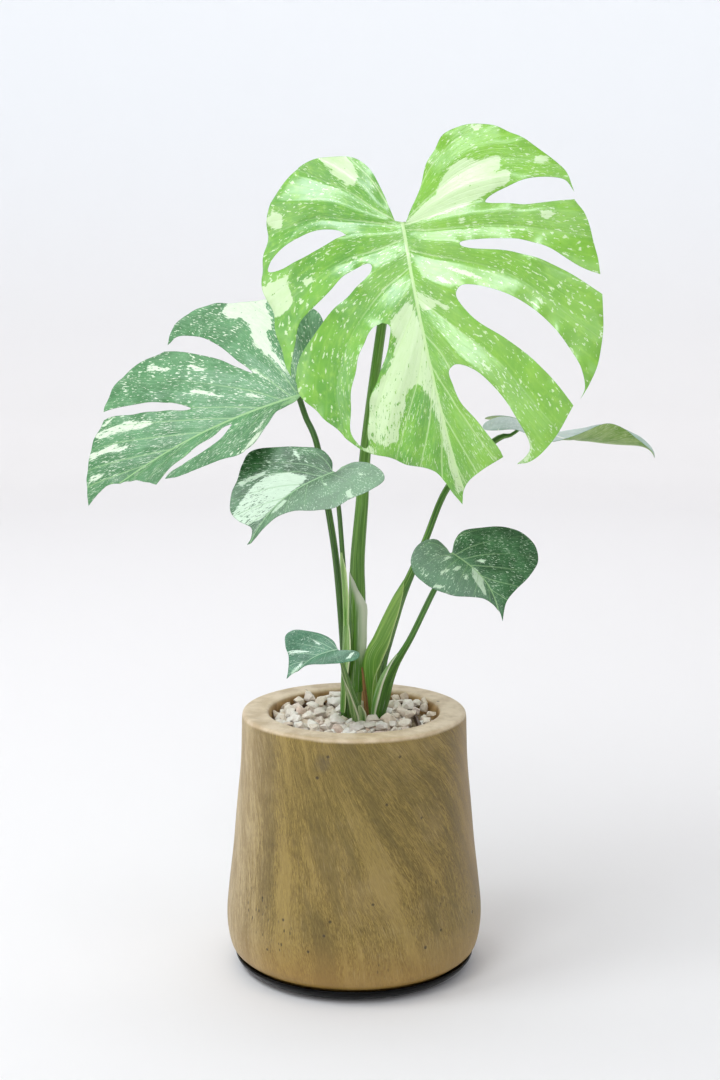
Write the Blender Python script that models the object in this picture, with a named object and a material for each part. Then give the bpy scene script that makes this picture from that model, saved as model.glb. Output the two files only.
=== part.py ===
# Potted monstera with variegated leaves: a turned pot on a saucer, pumice gravel over soil,
# six leaf stalks that rise from one clump, and six blades.
# Metres, +Z up. The origin is the centre of the saucer's underside; -Y is the front.
import math
import random

import bmesh
import bpy
import numpy as np
from mathutils import Vector
from mathutils.geometry import delaunay_2d_cdt

MM = 0.001
GAP = 0.0003

# pot and saucer, radius and height in mm
POT_MAX_R = 100.0
POT_RIM_R = 87.2
POT_OPENING_R = 66.0
POT_TOP_Z = 202.0
POT_FOOT_Z = 3.3
DRAIN_R = 8.0
SAUCER_R = 93.4
SAUCER_H = 9.5
SAUCER_FLOOR = 3.0

# growing medium
SOIL_BOTTOM_Z = 24.4
SOIL_TOP_Z = 176.0
BED_TOP_Z = 188.0
STONE_PITCH = 12.5
NURSERY_HALF = 49.5
NURSERY_CORNER = 15.0
NURSERY_WALL = 1.5
NURSERY_TURN = 4.0
NURSERY_TOP_Z = 194.6
NURSERY_BOTTOM_Z = 183.0
ROOT_Z = 165.0

# blade thickness, and how far along the midrib from the sinus its stalk meets it
BLADE = 1.0
SEAT_A = 3.0

for ob in list(bpy.data.objects):
    bpy.data.objects.remove(ob, do_unlink=True)

scene_root = bpy.context.scene.collection


def material(name, colour, roughness, metallic=0.0):
    mat = bpy.data.materials.new(name)
    mat.use_nodes = True
    shader = mat.node_tree.nodes["Principled BSDF"]
    shader.inputs["Base Color"].default_value = (*colour, 1.0)
    shader.inputs["Roughness"].default_value = roughness
    shader.inputs["Metallic"].default_value = metallic
    mat.diffuse_color = (*colour, 1.0)
    return mat


def add_object(name, bm, mat=None, collection=None):
    bmesh.ops.recalc_face_normals(bm, faces=bm.faces)
    mesh = bpy.data.meshes.new(name)
    bm.to_mesh(mesh)
    bm.free()
    ob = bpy.data.objects.new(name, mesh)
    (collection or scene_root).objects.link(ob)
    if mat:
        mesh.materials.append(mat)
        mesh.shade_smooth()
        mesh.set_sharp_from_angle(angle=math.radians(40))
    return ob


def turned(name, profile, segments, mat):
    """A closed profile of (radius, z) in mm, turned about Z. Radius 0 makes a pole."""
    bm = bmesh.new()
    rings = []
    for radius, z in profile:
        if radius < 1e-6:
            rings.append([bm.verts.new((0, 0, z * MM))])
            continue
        ring = []
        for i in range(segments):
            t = 2 * math.pi * i / segments
            ring.append(bm.verts.new((radius * MM * math.cos(t), radius * MM * math.sin(t), z * MM)))
        rings.append(ring)
    pairs = list(zip(rings, rings[1:] + rings[:1]))
    for low, high in pairs:
        if len(low) == 1 and len(high) == 1:
            continue
        for i in range(segments):
            j = (i + 1) % segments
            if len(low) == 1:
                bm.faces.new((low[0], high[i], high[j]))
            elif len(high) == 1:
                bm.faces.new((low[i], low[j], high[0]))
            else:
                bm.faces.new((low[i], low[j], high[j], high[i]))
    return add_object(name, bm, mat)


def smooth_path(points, step):
    """Catmull-Rom curve through the points, sampled about every step."""
    pts = [np.array(p, float) for p in points]
    ends = [2 * pts[0] - pts[1]] + pts + [2 * pts[-1] - pts[-2]]
    out = []
    for i in range(1, len(ends) - 2):
        p0, p1, p2, p3 = ends[i - 1:i + 3]
        count = max(1, int(round(np.linalg.norm(p2 - p1) / step)))
        for k in range(count):
            t = k / count
            out.append(0.5 * (2 * p1 + (p2 - p0) * t + (2 * p0 - 5 * p1 + 4 * p2 - p3) * t * t
                              + (3 * p1 - p0 - 3 * p2 + p3) * t ** 3))
    out.append(pts[-1])
    return out


# Pot and saucer
clay = material("pot_wood_tone", (0.25, 0.18, 0.07), 0.55)
black = material("saucer_black", (0.012, 0.012, 0.013), 0.35)
turned("saucer", [(0, 0), (80, 0), (86, 1.2), (90.5, 4.2), (92.8, 7.2), (SAUCER_R, 8.6), (92.9, SAUCER_H),
                  (91.4, SAUCER_H), (90.4, 8.4), (88.8, 5.6), (85.5, 3.7), (80, SAUCER_FLOOR), (0, SAUCER_FLOOR)],
       52, black)
pot_outside = [(78, POT_FOOT_Z), (84, 5.0), (87.6, 8.0), (91.0, 10.6), (94.2, 13.4), (96.8, 17.5), (99.2, 28),
               (POT_MAX_R, 43.5), (97.9, 66), (94.4, 98.5), (90.8, 135), (88.2, 165), (POT_RIM_R, 192),
               (86.6, 198.5), (84.8, 201.2), (82.4, POT_TOP_Z)]
pot_inside = [(70.5, POT_TOP_Z), (68.0, 201.0), (66.6, 198.6), (POT_OPENING_R, 194), (POT_OPENING_R, 60),
              (60, 36), (46, 25.5), (DRAIN_R, 24), (DRAIN_R, POT_FOOT_Z)]
turned("pot", pot_outside + pot_inside, 52, clay)


# Leaf surfaces
# Each blade lies on a curved sheet. a runs along the midrib from the sinus to the tip, b to the side.
# heading, pitch and roll turn the sheet. droop bends the midrib down, tip_droop bends its last quarter
# more, fold lifts each half from the midrib, grow adds to it towards the tip, arch rolls each half back
# towards its margin, and cup takes from arch towards the tip. ramp is where grow and cup set in, and how
# fast; wave is the height, start and length of a wave in the near half.
LEAVES = {
    "A": dict(at=(36.3, -5.0, 574.1), heading=-72, pitch=64, roll=42, length=215, width=140, droop=22,
              back=-10, tip_droop=10, fold=(14, 14), grow=(0, 0), arch=(38, 38), bow=0, cell=13),
    "B": dict(at=(-40.0, 30.0, 442.8), heading=181, pitch=22, roll=-30, length=190, width=100, droop=14,
              back=-10, tip_droop=6, fold=(18, 24), grow=(0, 0), arch=(20, 20), bow=-6, cell=13),
    "C": dict(at=(-13.9, -30.0, 391.4), heading=200, pitch=32, roll=-25, length=85, width=50, droop=14,
              back=-10, tip_droop=6, fold=(22, 24), grow=(0, 0), arch=(15, 15), bow=-9, cell=10),
    "D": dict(at=(72.1, -40.0, 332.1), heading=-41, pitch=39, roll=15, length=65, width=50, droop=14,
              back=-10, tip_droop=6, fold=(22, 22), grow=(0, 0), arch=(15, 15), bow=8, cell=10),
    "E": dict(at=(129.4, 40.0, 422.4), heading=-5, pitch=23, roll=0, length=113, width=50, droop=-28,
              back=130, tip_droop=100, fold=(-8, -3), grow=(28, 4), arch=(6, 6), cup=(0, 90), bow=0, cell=9,
              ramp=(0.12, 0.6), wave=(3, 6, 76)),
    "F": dict(at=(-11.8, -45.0, 259.5), heading=183, pitch=23, roll=-20, length=45, width=25, droop=24,
              back=-10, tip_droop=6, fold=(20, 26), grow=(0, 0), arch=(15, 15), bow=-3, cell=8),
}

# Margins in mm, from the sinus to the tip on each side. Every list is one smooth run between corners.
RIGHT = {
    "A": [[(2, 3), (-14, 14), (-40, 31), (-55, 49), (-54, 73), (-38, 97), (-8, 125), (14, 132)],
          [(14, 132), (4, 125), (-1, 105), (1, 80), (6, 67), (11, 77), (16, 93), (19, 110), (20, 131)],
          [(20, 131), (38, 137), (60, 139), (80, 138)],
          [(80, 138), (71, 125), (50, 103), (39, 80), (32, 52), (33, 44), (38, 50), (46, 72), (57, 94),
           (72, 114), (95, 136)],
          [(95, 136), (118, 132), (141, 123), (155, 113), (164, 104)],
          [(164, 104), (157, 109), (146, 110), (135, 108), (110, 98), (88, 82), (72, 62), (63, 42), (67, 34),
           (75, 35), (91, 45), (109, 63), (129, 79), (150, 91), (167, 98)],
          [(167, 98), (184, 81), (193, 68), (197, 57), (196, 48)],
          [(196, 48), (192, 56), (186, 60), (172, 59), (149, 51), (127, 38), (117, 24), (118, 15), (127, 14),
           (145, 19), (164, 29), (181, 38), (189, 39)],
          [(189, 39), (193, 24), (198, 10), (204, 1), (215, -4)]],
    "B": [[(1, 3), (6, 9), (20, 14), (31, 34), (43, 52), (56, 57), (72, 53), (90, 49), (105, 46), (117, 39)],
          [(117, 39), (112, 33), (100, 31), (84, 29), (68, 18), (58, 4), (66, 4), (78, 10), (94, 14), (109, 23),
           (118, 31), (125, 39)],
          [(125, 39), (136, 22), (152, 2), (166, -8), (178, -8), (190, -3)]],
    "C": [[(0, 1), (-8, 0), (-16, 8), (-21, 27), (-20, 48), (-12, 55), (7, 50), (22, 46), (32, 37), (42, 19),
           (52, 7), (66, 2), (77, 1), (85, -2)]],
    "D": [[(0, 1), (-7, 9), (-10, 19), (-5, 32), (3, 48), (14, 58), (27, 60), (38, 54), (45, 40), (49, 25),
           (53, 14), (59, 7), (65, 2)]],
    "E": [[(0, 2), (-14, 7), (-27, 20), (-30, 36), (-20, 48), (4, 53), (35, 50), (62, 41), (84, 27), (98, 12),
           (110, 0)]],
    "F": [[(-1, 3), (-6, 9), (-13, 19), (-15, 27), (-11, 31), (-2, 28), (8, 21), (17, 12), (26, 1), (36, -4),
           (45, -4)]],
}
LEFT = {
    "A": [[(-3, -6), (-25, -11), (-49, -19), (-63, -34), (-68, -60), (-66, -80), (-56, -97), (-33, -114),
           (-9, -121), (14, -125), (38, -122), (60, -120), (76, -116), (89, -112)],
          [(89, -112), (78, -108), (66, -104), (51, -95), (39, -71), (27, -46), (25, -31), (31, -29), (40, -40),
           (51, -61), (63, -79), (78, -99), (93, -109)],
          [(93, -109), (104, -107), (121, -96), (145, -78), (161, -62), (168, -47), (176, -36), (185, -18),
           (196, -11), (206, -8), (215, -4)]],
    "B": [[(-1, -2), (-18, -12), (-32, -30), (-36, -54), (-33, -75), (-13, -102), (22, -123), (50, -140),
           (70, -139), (82, -126), (87, -113)],
          [(87, -113), (76, -116), (60, -102), (48, -82), (38, -58), (30, -40), (36, -46), (50, -66), (68, -86),
           (80, -98), (91, -107)],
          [(91, -107), (106, -107), (124, -107), (139, -97), (149, -84), (152, -77)],
          [(152, -77), (140, -73), (125, -67), (105, -55), (90, -42), (85, -35), (93, -38), (108, -47),
           (130, -58), (147, -67), (154, -69)],
          [(154, -69), (168, -54), (181, -30), (186, -17), (190, -3)]],
    "C": [[(1, -2), (-4, -10), (-3, -23), (8, -37), (22, -52), (35, -62), (46, -58), (56, -50), (67, -43),
           (76, -32), (77, -21), (74, -10), (79, -4), (85, -2)]],
    "D": [[(0, -1), (-7, 0), (-14, -4), (-15, -18), (-10, -34), (1, -48), (12, -52), (25, -47), (36, -33),
           (42, -14), (48, -1), (56, 4), (65, 2)]],
    "E": [[(0, -2), (-14, -7), (-27, -20), (-30, -36), (-20, -48), (4, -53), (35, -50), (62, -41), (84, -27),
           (98, -12), (110, 0)]],
    "F": [[(0, -1), (1, -10), (7, -21), (16, -32), (25, -42), (32, -42), (35, -31), (36, -20), (41, -9),
           (45, -4)]],
}
HOLES = {
    "A": [[(-1, -44), (-8, -52), (-13, -68), (-14, -84), (-10, -100), (-3, -113), (3, -117), (6, -108), (6, -88),
           (3, -70), (1, -54)],
          [(72, -28), (74, -36), (82, -45), (100, -56), (123, -66), (142, -71), (155, -66), (156, -61),
           (143, -57), (123, -50), (105, -37), (86, -26), (76, -23)]],
}
BLADE_COLOURS = {"A": (0.21, 0.50, 0.06), "B": (0.12, 0.28, 0.13), "C": (0.14, 0.30, 0.13),
                 "D": (0.13, 0.30, 0.10), "E": (0.24, 0.34, 0.14), "F": (0.12, 0.28, 0.10)}


def leaf_frame(leaf):
    h, p, r = (math.radians(leaf[k]) for k in ("heading", "pitch", "roll"))
    along = np.array([math.cos(p) * math.cos(h), math.cos(p) * math.sin(h), -math.sin(p)])
    level = np.array([-math.sin(h), math.cos(h), 0.0])
    side = level * math.cos(r) + np.cross(along, level) * math.sin(r)
    return along, side, np.cross(along, side)


def on_leaf(leaf, a, b):
    """World point in mm of the leaf's middle sheet at (a, b)."""
    along, side, up = leaf_frame(leaf)
    length = leaf["length"]
    steps = 24
    forward = below = 0.0
    bend = 0.0
    for k in range(steps):
        f = (k + 0.5) / steps * a / length
        bend = leaf["droop"] * f if a >= 0 else leaf["back"] * f
        bend += leaf["tip_droop"] * max(0.0, (f - 0.75) / 0.25) ** 2
        forward += math.cos(math.radians(bend)) * a / steps
        below += math.sin(math.radians(bend)) * a / steps
    bend = math.radians(bend)
    rel = b - leaf["bow"] * math.sin(math.pi * min(1.0, max(0.0, a / length)))
    half = 0 if rel >= 0 else 1
    start, span = leaf.get("ramp", (0.1, 0.45))
    ramp = min(1.0, max(0.0, (a / length - start) / span))
    fold = math.radians(leaf["fold"][half] + leaf["grow"][half] * ramp * ramp * (3 - 2 * ramp))
    roll_up = leaf.get("cup", (0, 0))[half] * ramp * ramp * (3 - 2 * ramp)
    curl = math.radians(leaf["arch"][half] - roll_up + 1e-4) / leaf["width"]
    run = (math.sin(fold) - math.sin(fold - curl * abs(rel))) / curl
    rise = (math.cos(fold - curl * abs(rel)) - math.cos(fold)) / curl
    if half and "wave" in leaf:
        height, first, period = leaf["wave"]
        rise += height * abs(rel) / leaf["width"] * math.cos(2 * math.pi * (a - first) / period)
    normal = math.sin(bend) * along + math.cos(bend) * up
    out = math.copysign(run, rel) + (b - rel)
    return np.array(leaf["at"]) + forward * along - below * up + out * side + rise * normal


def inside(point, polygon):
    x, y = point
    hit = False
    for (x1, y1), (x2, y2) in zip(polygon, polygon[1:] + polygon[:1]):
        if (y1 > y) != (y2 > y) and x < (x2 - x1) * (y - y1) / (y2 - y1) + x1:
            hit = not hit
    return hit


def margin(key, step):
    run = []
    for part in RIGHT[key]:
        run += smooth_path(part, step)[:-1]
    run.append(np.array(RIGHT[key][-1][-1], float))
    back = []
    for part in LEFT[key]:
        back += smooth_path(part, step)[:-1]
    return [tuple(p) for p in run + back[::-1]]


def blade(key, name, mat):
    leaf = LEAVES[key]
    cell = leaf["cell"]
    edge = margin(key, cell * 0.6)
    holes = [[tuple(p) for p in smooth_path(h + h[:1], cell * 0.6)[:-1]] for h in HOLES.get(key, [])]
    loops = [edge] + holes
    points = []
    edges = []
    for loop in loops:
        first = len(points)
        points += loop
        edges += [(first + i, first + (i + 1) % len(loop)) for i in range(len(loop))]
    tip = leaf["length"]
    rib = []
    for a in [SEAT_A] + [k * cell for k in range(1, int(tip / cell))]:
        p = (a, leaf["bow"] * math.sin(math.pi * a / tip))
        if a == SEAT_A or min(math.dist(p, q) for q in points) > cell * 0.4:
            rib.append(p)
    first = len(points)
    points += rib
    edges += [(first + i, first + i + 1) for i in range(len(rib) - 1)]
    fixed = list(points)
    low_a, low_b = (min(p[i] for p in edge) for i in (0, 1))
    top_a, top_b = (max(p[i] for p in edge) for i in (0, 1))
    row = 0
    a = low_a
    while a < top_a:
        b = low_b + (cell / 2 if row % 2 else 0)
        while b < top_b:
            p = (a, b)
            if inside(p, edge) and not any(inside(p, h) for h in holes):
                if min(math.dist(p, q) for q in fixed) > cell * 0.55:
                    points.append(p)
            b += cell
        a += cell * 0.866
        row += 1
    flat = delaunay_2d_cdt([Vector(p) for p in points], edges, [], 0, 1e-6)
    verts, faces = flat[0], flat[2]
    kept = []
    for face in faces:
        centre = tuple(sum(verts[i][k] for i in face) / 3 for k in (0, 1))
        if inside(centre, edge) and not any(inside(centre, h) for h in holes):
            kept.append(face)
    bm = bmesh.new()
    upper = {}
    lower = {}
    for i in sorted({i for face in kept for i in face}):
        a, b = verts[i]
        mid = on_leaf(leaf, a, b)
        da = on_leaf(leaf, a + 1.5, b) - on_leaf(leaf, a - 1.5, b)
        db = on_leaf(leaf, a, b + 1.5) - on_leaf(leaf, a, b - 1.5)
        normal = np.cross(da, db)
        normal /= np.linalg.norm(normal)
        upper[i] = bm.verts.new(Vector((mid + normal * BLADE / 2) * MM))
        lower[i] = bm.verts.new(Vector((mid - normal * BLADE / 2) * MM))
    count = {}
    for face in kept:
        bm.faces.new([upper[i] for i in face])
        bm.faces.new([lower[i] for i in reversed(face)])
        for i, j in zip(face, face[1:] + face[:1]):
            count[(i, j)] = True
    for i, j in count:
        if (j, i) not in count:
            bm.faces.new((upper[j], upper[i], lower[i], lower[j]))
    return add_object(name, bm, mat)


for key in "ABCDEF":
    blade(key, "leaf_" + key, material("leaf_green_" + key, BLADE_COLOURS[key], 0.35))


# Stalks
# Rings of (x, y, z, half width, half depth) in mm. The width lies across the direction away from the clump.
def stalk_end(key, back):
    """The bend below the sinus, and the two points on the blade's normal where the stalk ends."""
    leaf = LEAVES[key]
    up = leaf_frame(leaf)[2]
    at = on_leaf(leaf, SEAT_A, leaf["bow"] * math.sin(math.pi * SEAT_A / leaf["length"]))
    return tuple(at - up * 9 + np.array(back)), tuple(at - up * 3.5), tuple(at - up * (BLADE / 2 + 0.45))


STALKS = {
    "A": ([(0, 11, ROOT_Z, 5.2, 5.0), (0, 11, 192, 5.2, 5.0), (0.8, 11, 222, 5.8, 5.0), (2.4, 11, 252, 6.4, 4.8),
           (2.8, 11, 288, 6.2, 4.7), (2.8, 11, 318, 5.6, 4.6), (6.2, 12, 362, 4.9, 4.5), (9.6, 14, 409, 4.2, 4.2),
           (21, 10, 497, 3.7, 3.7), (28.4, 6, 540, 3.5, 3.5)], (-2.5, 1, -9), 3.2, (0, 1)),
    "B": ([(-5, 20.5, ROOT_Z, 3.2, 3.2), (-5, 20.5, 192, 3.2, 3.2), (-6.5, 20, 215, 3.0, 3.0),
           (-9.5, 19, 264, 2.8, 2.8), (-14, 18, 316, 2.7, 2.7), (-20, 20, 356, 2.6, 2.6),
           (-28.5, 25, 405, 2.4, 2.4)], (3, -1, -10), 2.3, (-1, 1)),
    "C": ([(-8, 8, ROOT_Z, 2.8, 2.4), (-8, 8, 192, 2.8, 2.4), (-7.3, 7, 222, 2.8, 2.4), (-6.0, 4, 262, 2.4, 2.0),
           (-6.6, 1, 294, 2.0, 2.0), (-8.4, -4, 320, 1.9, 1.9), (-11.0, -14, 358, 1.8, 1.8)],
          (1, 3, -8), 1.7, (-1, -0.3)),
    "D": ([(18.4, 2.5, ROOT_Z, 5.2, 2.6), (18.4, 2.5, 192, 5.2, 2.6), (21.0, -1, 209, 6.6, 2.6),
           (25.0, -6, 226, 5.8, 2.5), (31.0, -11, 240, 3.9, 2.4), (36.5, -15, 250, 2.8, 2.4),
           (44, -21, 265, 2.4, 2.3), (58, -32, 298, 2.2, 2.2)], (-4, 3, -6), 1.9, (0.35, -1)),
    "E": ([(16, 13, ROOT_Z, 6.0, 2.8), (16, 13, 192, 6.0, 2.8), (16, 12, 214, 8.2, 2.8),
           (17.5, 10, 238, 9.4, 2.8), (23.0, 8.5, 255, 8.0, 2.7), (28.5, 7.5, 271, 6.8, 2.7),
           (34.5, 6.5, 287, 5.2, 2.7), (42, 7, 303, 3.3, 2.7), (54.8, 10, 333, 2.6, 2.6), (70.5, 19, 370, 2.5, 2.5),
           (92, 28, 394, 2.5, 2.5), (112, 34.5, 409, 2.4, 2.4)], (-7, -2, -2), 1.4, (0.5, -1)),
    "F": ([(3, -3, ROOT_Z, 4.2, 2.4), (3, -3, 192, 4.2, 2.4), (1.2, -7, 204, 4.4, 2.3),
           (-3.8, -17.5, 224, 2.8, 1.9), (-8, -31, 243, 1.8, 1.5)], (2, 6, -3), 1.3, (-0.35, -1)),
}


def tube(name, rings, facing, sides, mat, grow=0.0, collection=None):
    rows = smooth_path(rings, 16)
    away = Vector((facing[0], facing[1], 0)).normalized()
    bm = bmesh.new()
    loops = []
    for i, row in enumerate(rows):
        before = Vector(rows[max(0, i - 1)][:3])
        after = Vector(rows[min(len(rows) - 1, i + 1)][:3])
        run = (after - before).normalized()
        wide = run.cross(away).normalized()
        deep = wide.cross(run).normalized()
        if i == 0 and grow:
            row = row + np.array([0, 0, -grow, 0, 0])
        loop = []
        for k in range(sides):
            t = 2 * math.pi * k / sides
            p = Vector(row[:3]) + wide * (row[3] + grow) * math.cos(t) + deep * (row[4] + grow) * math.sin(t)
            loop.append(bm.verts.new(p * MM))
        loops.append(loop)
    for low, high in zip(loops, loops[1:]):
        for k in range(sides):
            j = (k + 1) % sides
            bm.faces.new((low[k], low[j], high[j], high[k]))
    bm.faces.new(loops[0][::-1])
    bm.faces.new(loops[-1])
    return add_object(name, bm, mat, collection)


cutters = bpy.data.collections.new("stalk_holes")
scene_root.children.link(cutters)
STALK_COLOURS = {"A": (0.20, 0.30, 0.05), "B": (0.12, 0.20, 0.07), "C": (0.11, 0.20, 0.07),
                 "D": (0.16, 0.28, 0.09), "E": (0.27, 0.40, 0.14), "F": (0.13, 0.24, 0.08)}
for key, (rings, back, end_r, facing) in STALKS.items():
    rings = rings + [(*point, end_r, end_r) for point in stalk_end(key, back)]
    tube("stalk_" + key, rings, facing, 10, material("stalk_green_" + key, STALK_COLOURS[key], 0.45))
    tube("hole_" + key, rings[:4], facing, 10, None, grow=0.35, collection=cutters)
dry = [(10.0, 2.5, ROOT_Z, 2.3, 1.2), (10.0, 2.5, 192, 2.3, 1.2), (8.8, 1.8, 214, 2.6, 1.2),
       (6.4, 1.0, 235, 1.2, 0.7)]
tube("dry_sheath", dry, (0.3, -1), 8, material("dry_brown", (0.16, 0.08, 0.03), 0.8))
tube("hole_dry", dry[:3], (0.3, -1), 8, None, grow=0.35, collection=cutters)


# Nursery pot rim
def rounded_square(half, corner, turn, per_corner=5):
    out = []
    for quarter in range(4):
        for k in range(per_corner):
            t = math.radians(90 * quarter + 90 * k / (per_corner - 1))
            cx = (half - corner) * (1 if quarter in (0, 3) else -1)
            cy = (half - corner) * (1 if quarter in (0, 1) else -1)
            x = cx + corner * math.cos(t)
            y = cy + corner * math.sin(t)
            s = math.radians(turn)
            out.append((x * math.cos(s) - y * math.sin(s), x * math.sin(s) + y * math.cos(s)))
    return out


def square_ring(name, low, high, grow, mat, collection=None):
    bm = bmesh.new()
    outer = rounded_square(NURSERY_HALF + grow, NURSERY_CORNER + grow, NURSERY_TURN)
    inner = rounded_square(NURSERY_HALF - NURSERY_WALL - grow, NURSERY_CORNER - NURSERY_WALL - grow, NURSERY_TURN)
    loops = []
    for outline, z in ((outer, low), (outer, high), (inner, high), (inner, low)):
        loops.append([bm.verts.new((x * MM, y * MM, z * MM)) for x, y in outline])
    for lower, upper in zip(loops, loops[1:] + loops[:1]):
        for k in range(len(outer)):
            j = (k + 1) % len(outer)
            bm.faces.new((lower[k], lower[j], upper[j], upper[k]))
    return add_object(name, bm, mat, collection)


square_ring("nursery_pot_rim", NURSERY_BOTTOM_Z, NURSERY_TOP_Z, 0.0, material("black_plastic", (0.01, 0.01, 0.01), 0.4))
square_ring("rim_groove", NURSERY_BOTTOM_Z - 0.35, NURSERY_TOP_Z + 0.35, 0.35, None, cutters)


# Soil and gravel
def disc(name, profile, segments, mat):
    return turned(name, [(0, profile[0][1])] + profile + [(0, profile[-1][1])], segments, mat)


def stone(rng, x, y, z, size, collection):
    bm = bmesh.new()
    tilt = rng.uniform(0, math.pi)
    stretch = (rng.uniform(0.9, 1.3), rng.uniform(0.75, 1.0), rng.uniform(0.75, 0.95))
    for k in range(10):
        up = 1 - 2 * (k + 0.5) / 10
        t = 2.4 * k + tilt
        flat = math.sqrt(1 - up * up)
        wobble = rng.uniform(0.88, 1.12)
        px = flat * math.cos(t) * stretch[0] * wobble
        py = flat * math.sin(t) * stretch[1] * wobble
        spun = (px * math.cos(tilt) - py * math.sin(tilt), px * math.sin(tilt) + py * math.cos(tilt))
        wx = x + size * spun[0]
        wy = y + size * spun[1]
        reach = math.hypot(wx, wy)
        limit = POT_OPENING_R - 0.6
        if reach > limit:
            wx *= limit / reach
            wy *= limit / reach
        bm.verts.new((wx * MM, wy * MM, (z + size * up * stretch[2] * wobble) * MM))
    bmesh.ops.convex_hull(bm, input=bm.verts)
    return add_object("stone", bm, None, collection)


def combined(ob, others, operation):
    mod = ob.modifiers.new(operation.lower(), "BOOLEAN")
    mod.operation = operation
    mod.operand_type = "COLLECTION"
    mod.collection = others
    mod.solver = "EXACT"
    graph = bpy.context.evaluated_depsgraph_get()
    mesh = bpy.data.meshes.new_from_object(ob.evaluated_get(graph))
    ob.modifiers.clear()
    ob.data = mesh


def drop_chips(ob):
    """Chips that a cut leaves loose go: only the largest connected body stays."""
    bm = bmesh.new()
    bm.from_mesh(ob.data)
    left = set(bm.verts)
    bodies = []
    while left:
        front = [left.pop()]
        body = list(front)
        while front:
            vert = front.pop()
            for edge in vert.link_edges:
                other = edge.other_vert(vert)
                if other in left:
                    left.remove(other)
                    front.append(other)
                    body.append(other)
        bodies.append(body)
    bodies.sort(key=len)
    bmesh.ops.delete(bm, geom=[v for body in bodies[:-1] for v in body], context="VERTS")
    bm.to_mesh(ob.data)
    bm.free()


soil = disc("soil", [(44, SOIL_BOTTOM_Z + 1.5), (58, 36), (POT_OPENING_R - 0.4, 61), (POT_OPENING_R - 0.4, SOIL_TOP_Z)],
            48, material("soil_brown", (0.035, 0.022, 0.014), 0.95))
gravel = disc("gravel", [(POT_OPENING_R - 0.6, SOIL_TOP_Z + 0.3), (POT_OPENING_R - 0.6, BED_TOP_Z)], 48,
              material("pumice", (0.72, 0.64, 0.52), 0.85))

rng = random.Random(11)
stalk_feet = [(s[0][0][0], s[0][0][1], s[0][0][3]) for s in STALKS.values()] + [(10.0, 2.5, 2.3)]
pile = bpy.data.collections.new("stones")
scene_root.children.link(pile)
turn = math.radians(NURSERY_TURN)
placed = []
for row in range(-6, 7):
    for col in range(-7, 8):
        x = (col + 0.5 * (row % 2)) * STONE_PITCH + rng.uniform(-2.2, 2.2)
        y = row * STONE_PITCH * 0.866 + rng.uniform(-2.2, 2.2)
        size = rng.uniform(5.2, 7.2)
        drop = rng.uniform(-1.0, 1.0)
        if math.hypot(x, y) > POT_OPENING_R - 5.5:
            continue
        across = x * math.cos(turn) + y * math.sin(turn)
        if abs(across - NURSERY_HALF) < 6.5 and -26 < y < 26:
            continue
        clear = min(math.hypot(x - fx, y - fy) - fr for fx, fy, fr in stalk_feet)
        if clear < 3.5:
            continue
        size = min(size, 3.4 + clear * 0.5)
        lift = 3.5 * (1 - (math.hypot(x, y) / POT_OPENING_R) ** 2)
        placed.append((x, y, size))
        stone(rng, x, y, BED_TOP_Z + 0.3 + lift + drop, size, pile)
combined(gravel, pile, "UNION")
for ob in list(pile.objects):
    bpy.data.objects.remove(ob, do_unlink=True)
combined(gravel, cutters, "DIFFERENCE")
combined(soil, cutters, "DIFFERENCE")
drop_chips(gravel)
for ob in list(cutters.objects):
    bpy.data.objects.remove(ob, do_unlink=True)
for ob in (gravel, soil):
    ob.data.shade_smooth()
    ob.data.set_sharp_from_angle(angle=math.radians(30))
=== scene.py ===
# Potted monstera with variegated leaves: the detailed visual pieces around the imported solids.
# Metres, +Z up. The origin is the centre of the saucer's underside; -Y is the front.
import math
import random
from functools import partialmethod

import bmesh
import bpy
import numpy as np
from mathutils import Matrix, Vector, noise
from mathutils.geometry import delaunay_2d_cdt
from mathutils.kdtree import KDTree


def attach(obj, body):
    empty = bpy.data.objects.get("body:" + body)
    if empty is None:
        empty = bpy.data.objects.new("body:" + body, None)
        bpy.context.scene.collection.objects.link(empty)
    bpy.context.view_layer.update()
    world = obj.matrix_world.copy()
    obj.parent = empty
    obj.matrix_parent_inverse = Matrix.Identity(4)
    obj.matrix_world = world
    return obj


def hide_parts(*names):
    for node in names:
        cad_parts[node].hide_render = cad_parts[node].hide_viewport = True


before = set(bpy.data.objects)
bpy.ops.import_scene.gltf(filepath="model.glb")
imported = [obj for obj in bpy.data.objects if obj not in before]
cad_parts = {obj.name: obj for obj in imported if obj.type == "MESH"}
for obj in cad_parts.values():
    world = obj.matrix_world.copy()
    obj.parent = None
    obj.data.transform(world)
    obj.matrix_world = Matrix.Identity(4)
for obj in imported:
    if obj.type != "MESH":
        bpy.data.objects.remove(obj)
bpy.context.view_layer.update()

MM = 0.001
scene = bpy.context.scene
scene_root = scene.collection

# camera: the eye's place, its downward pitch, and the focal length for a 36 mm long side
EYE = (0.0046, -1.427, 0.584)
PITCH_DEG = 9.9
LENS_MM = 63.33

# the pot's opening, how far out stones may reach, the gravel and the nursery pot, in mm, and its turn
POT_OPENING_R = 66.0
STONE_LIMIT_R = POT_OPENING_R - 0.6
BED_TOP_Z = 188.0
BED_CROWN = 3.5
STONE_PITCH = 12.5
NURSERY_HALF = 49.5
NURSERY_TURN = math.radians(4.0)
# the stalks' feet, the blades' thickness, and how far from the sinus the stalk meets the midrib, in mm
ROOT_Z = 165.0
BLADE = 0.7
SEAT_A = 3.0


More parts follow.
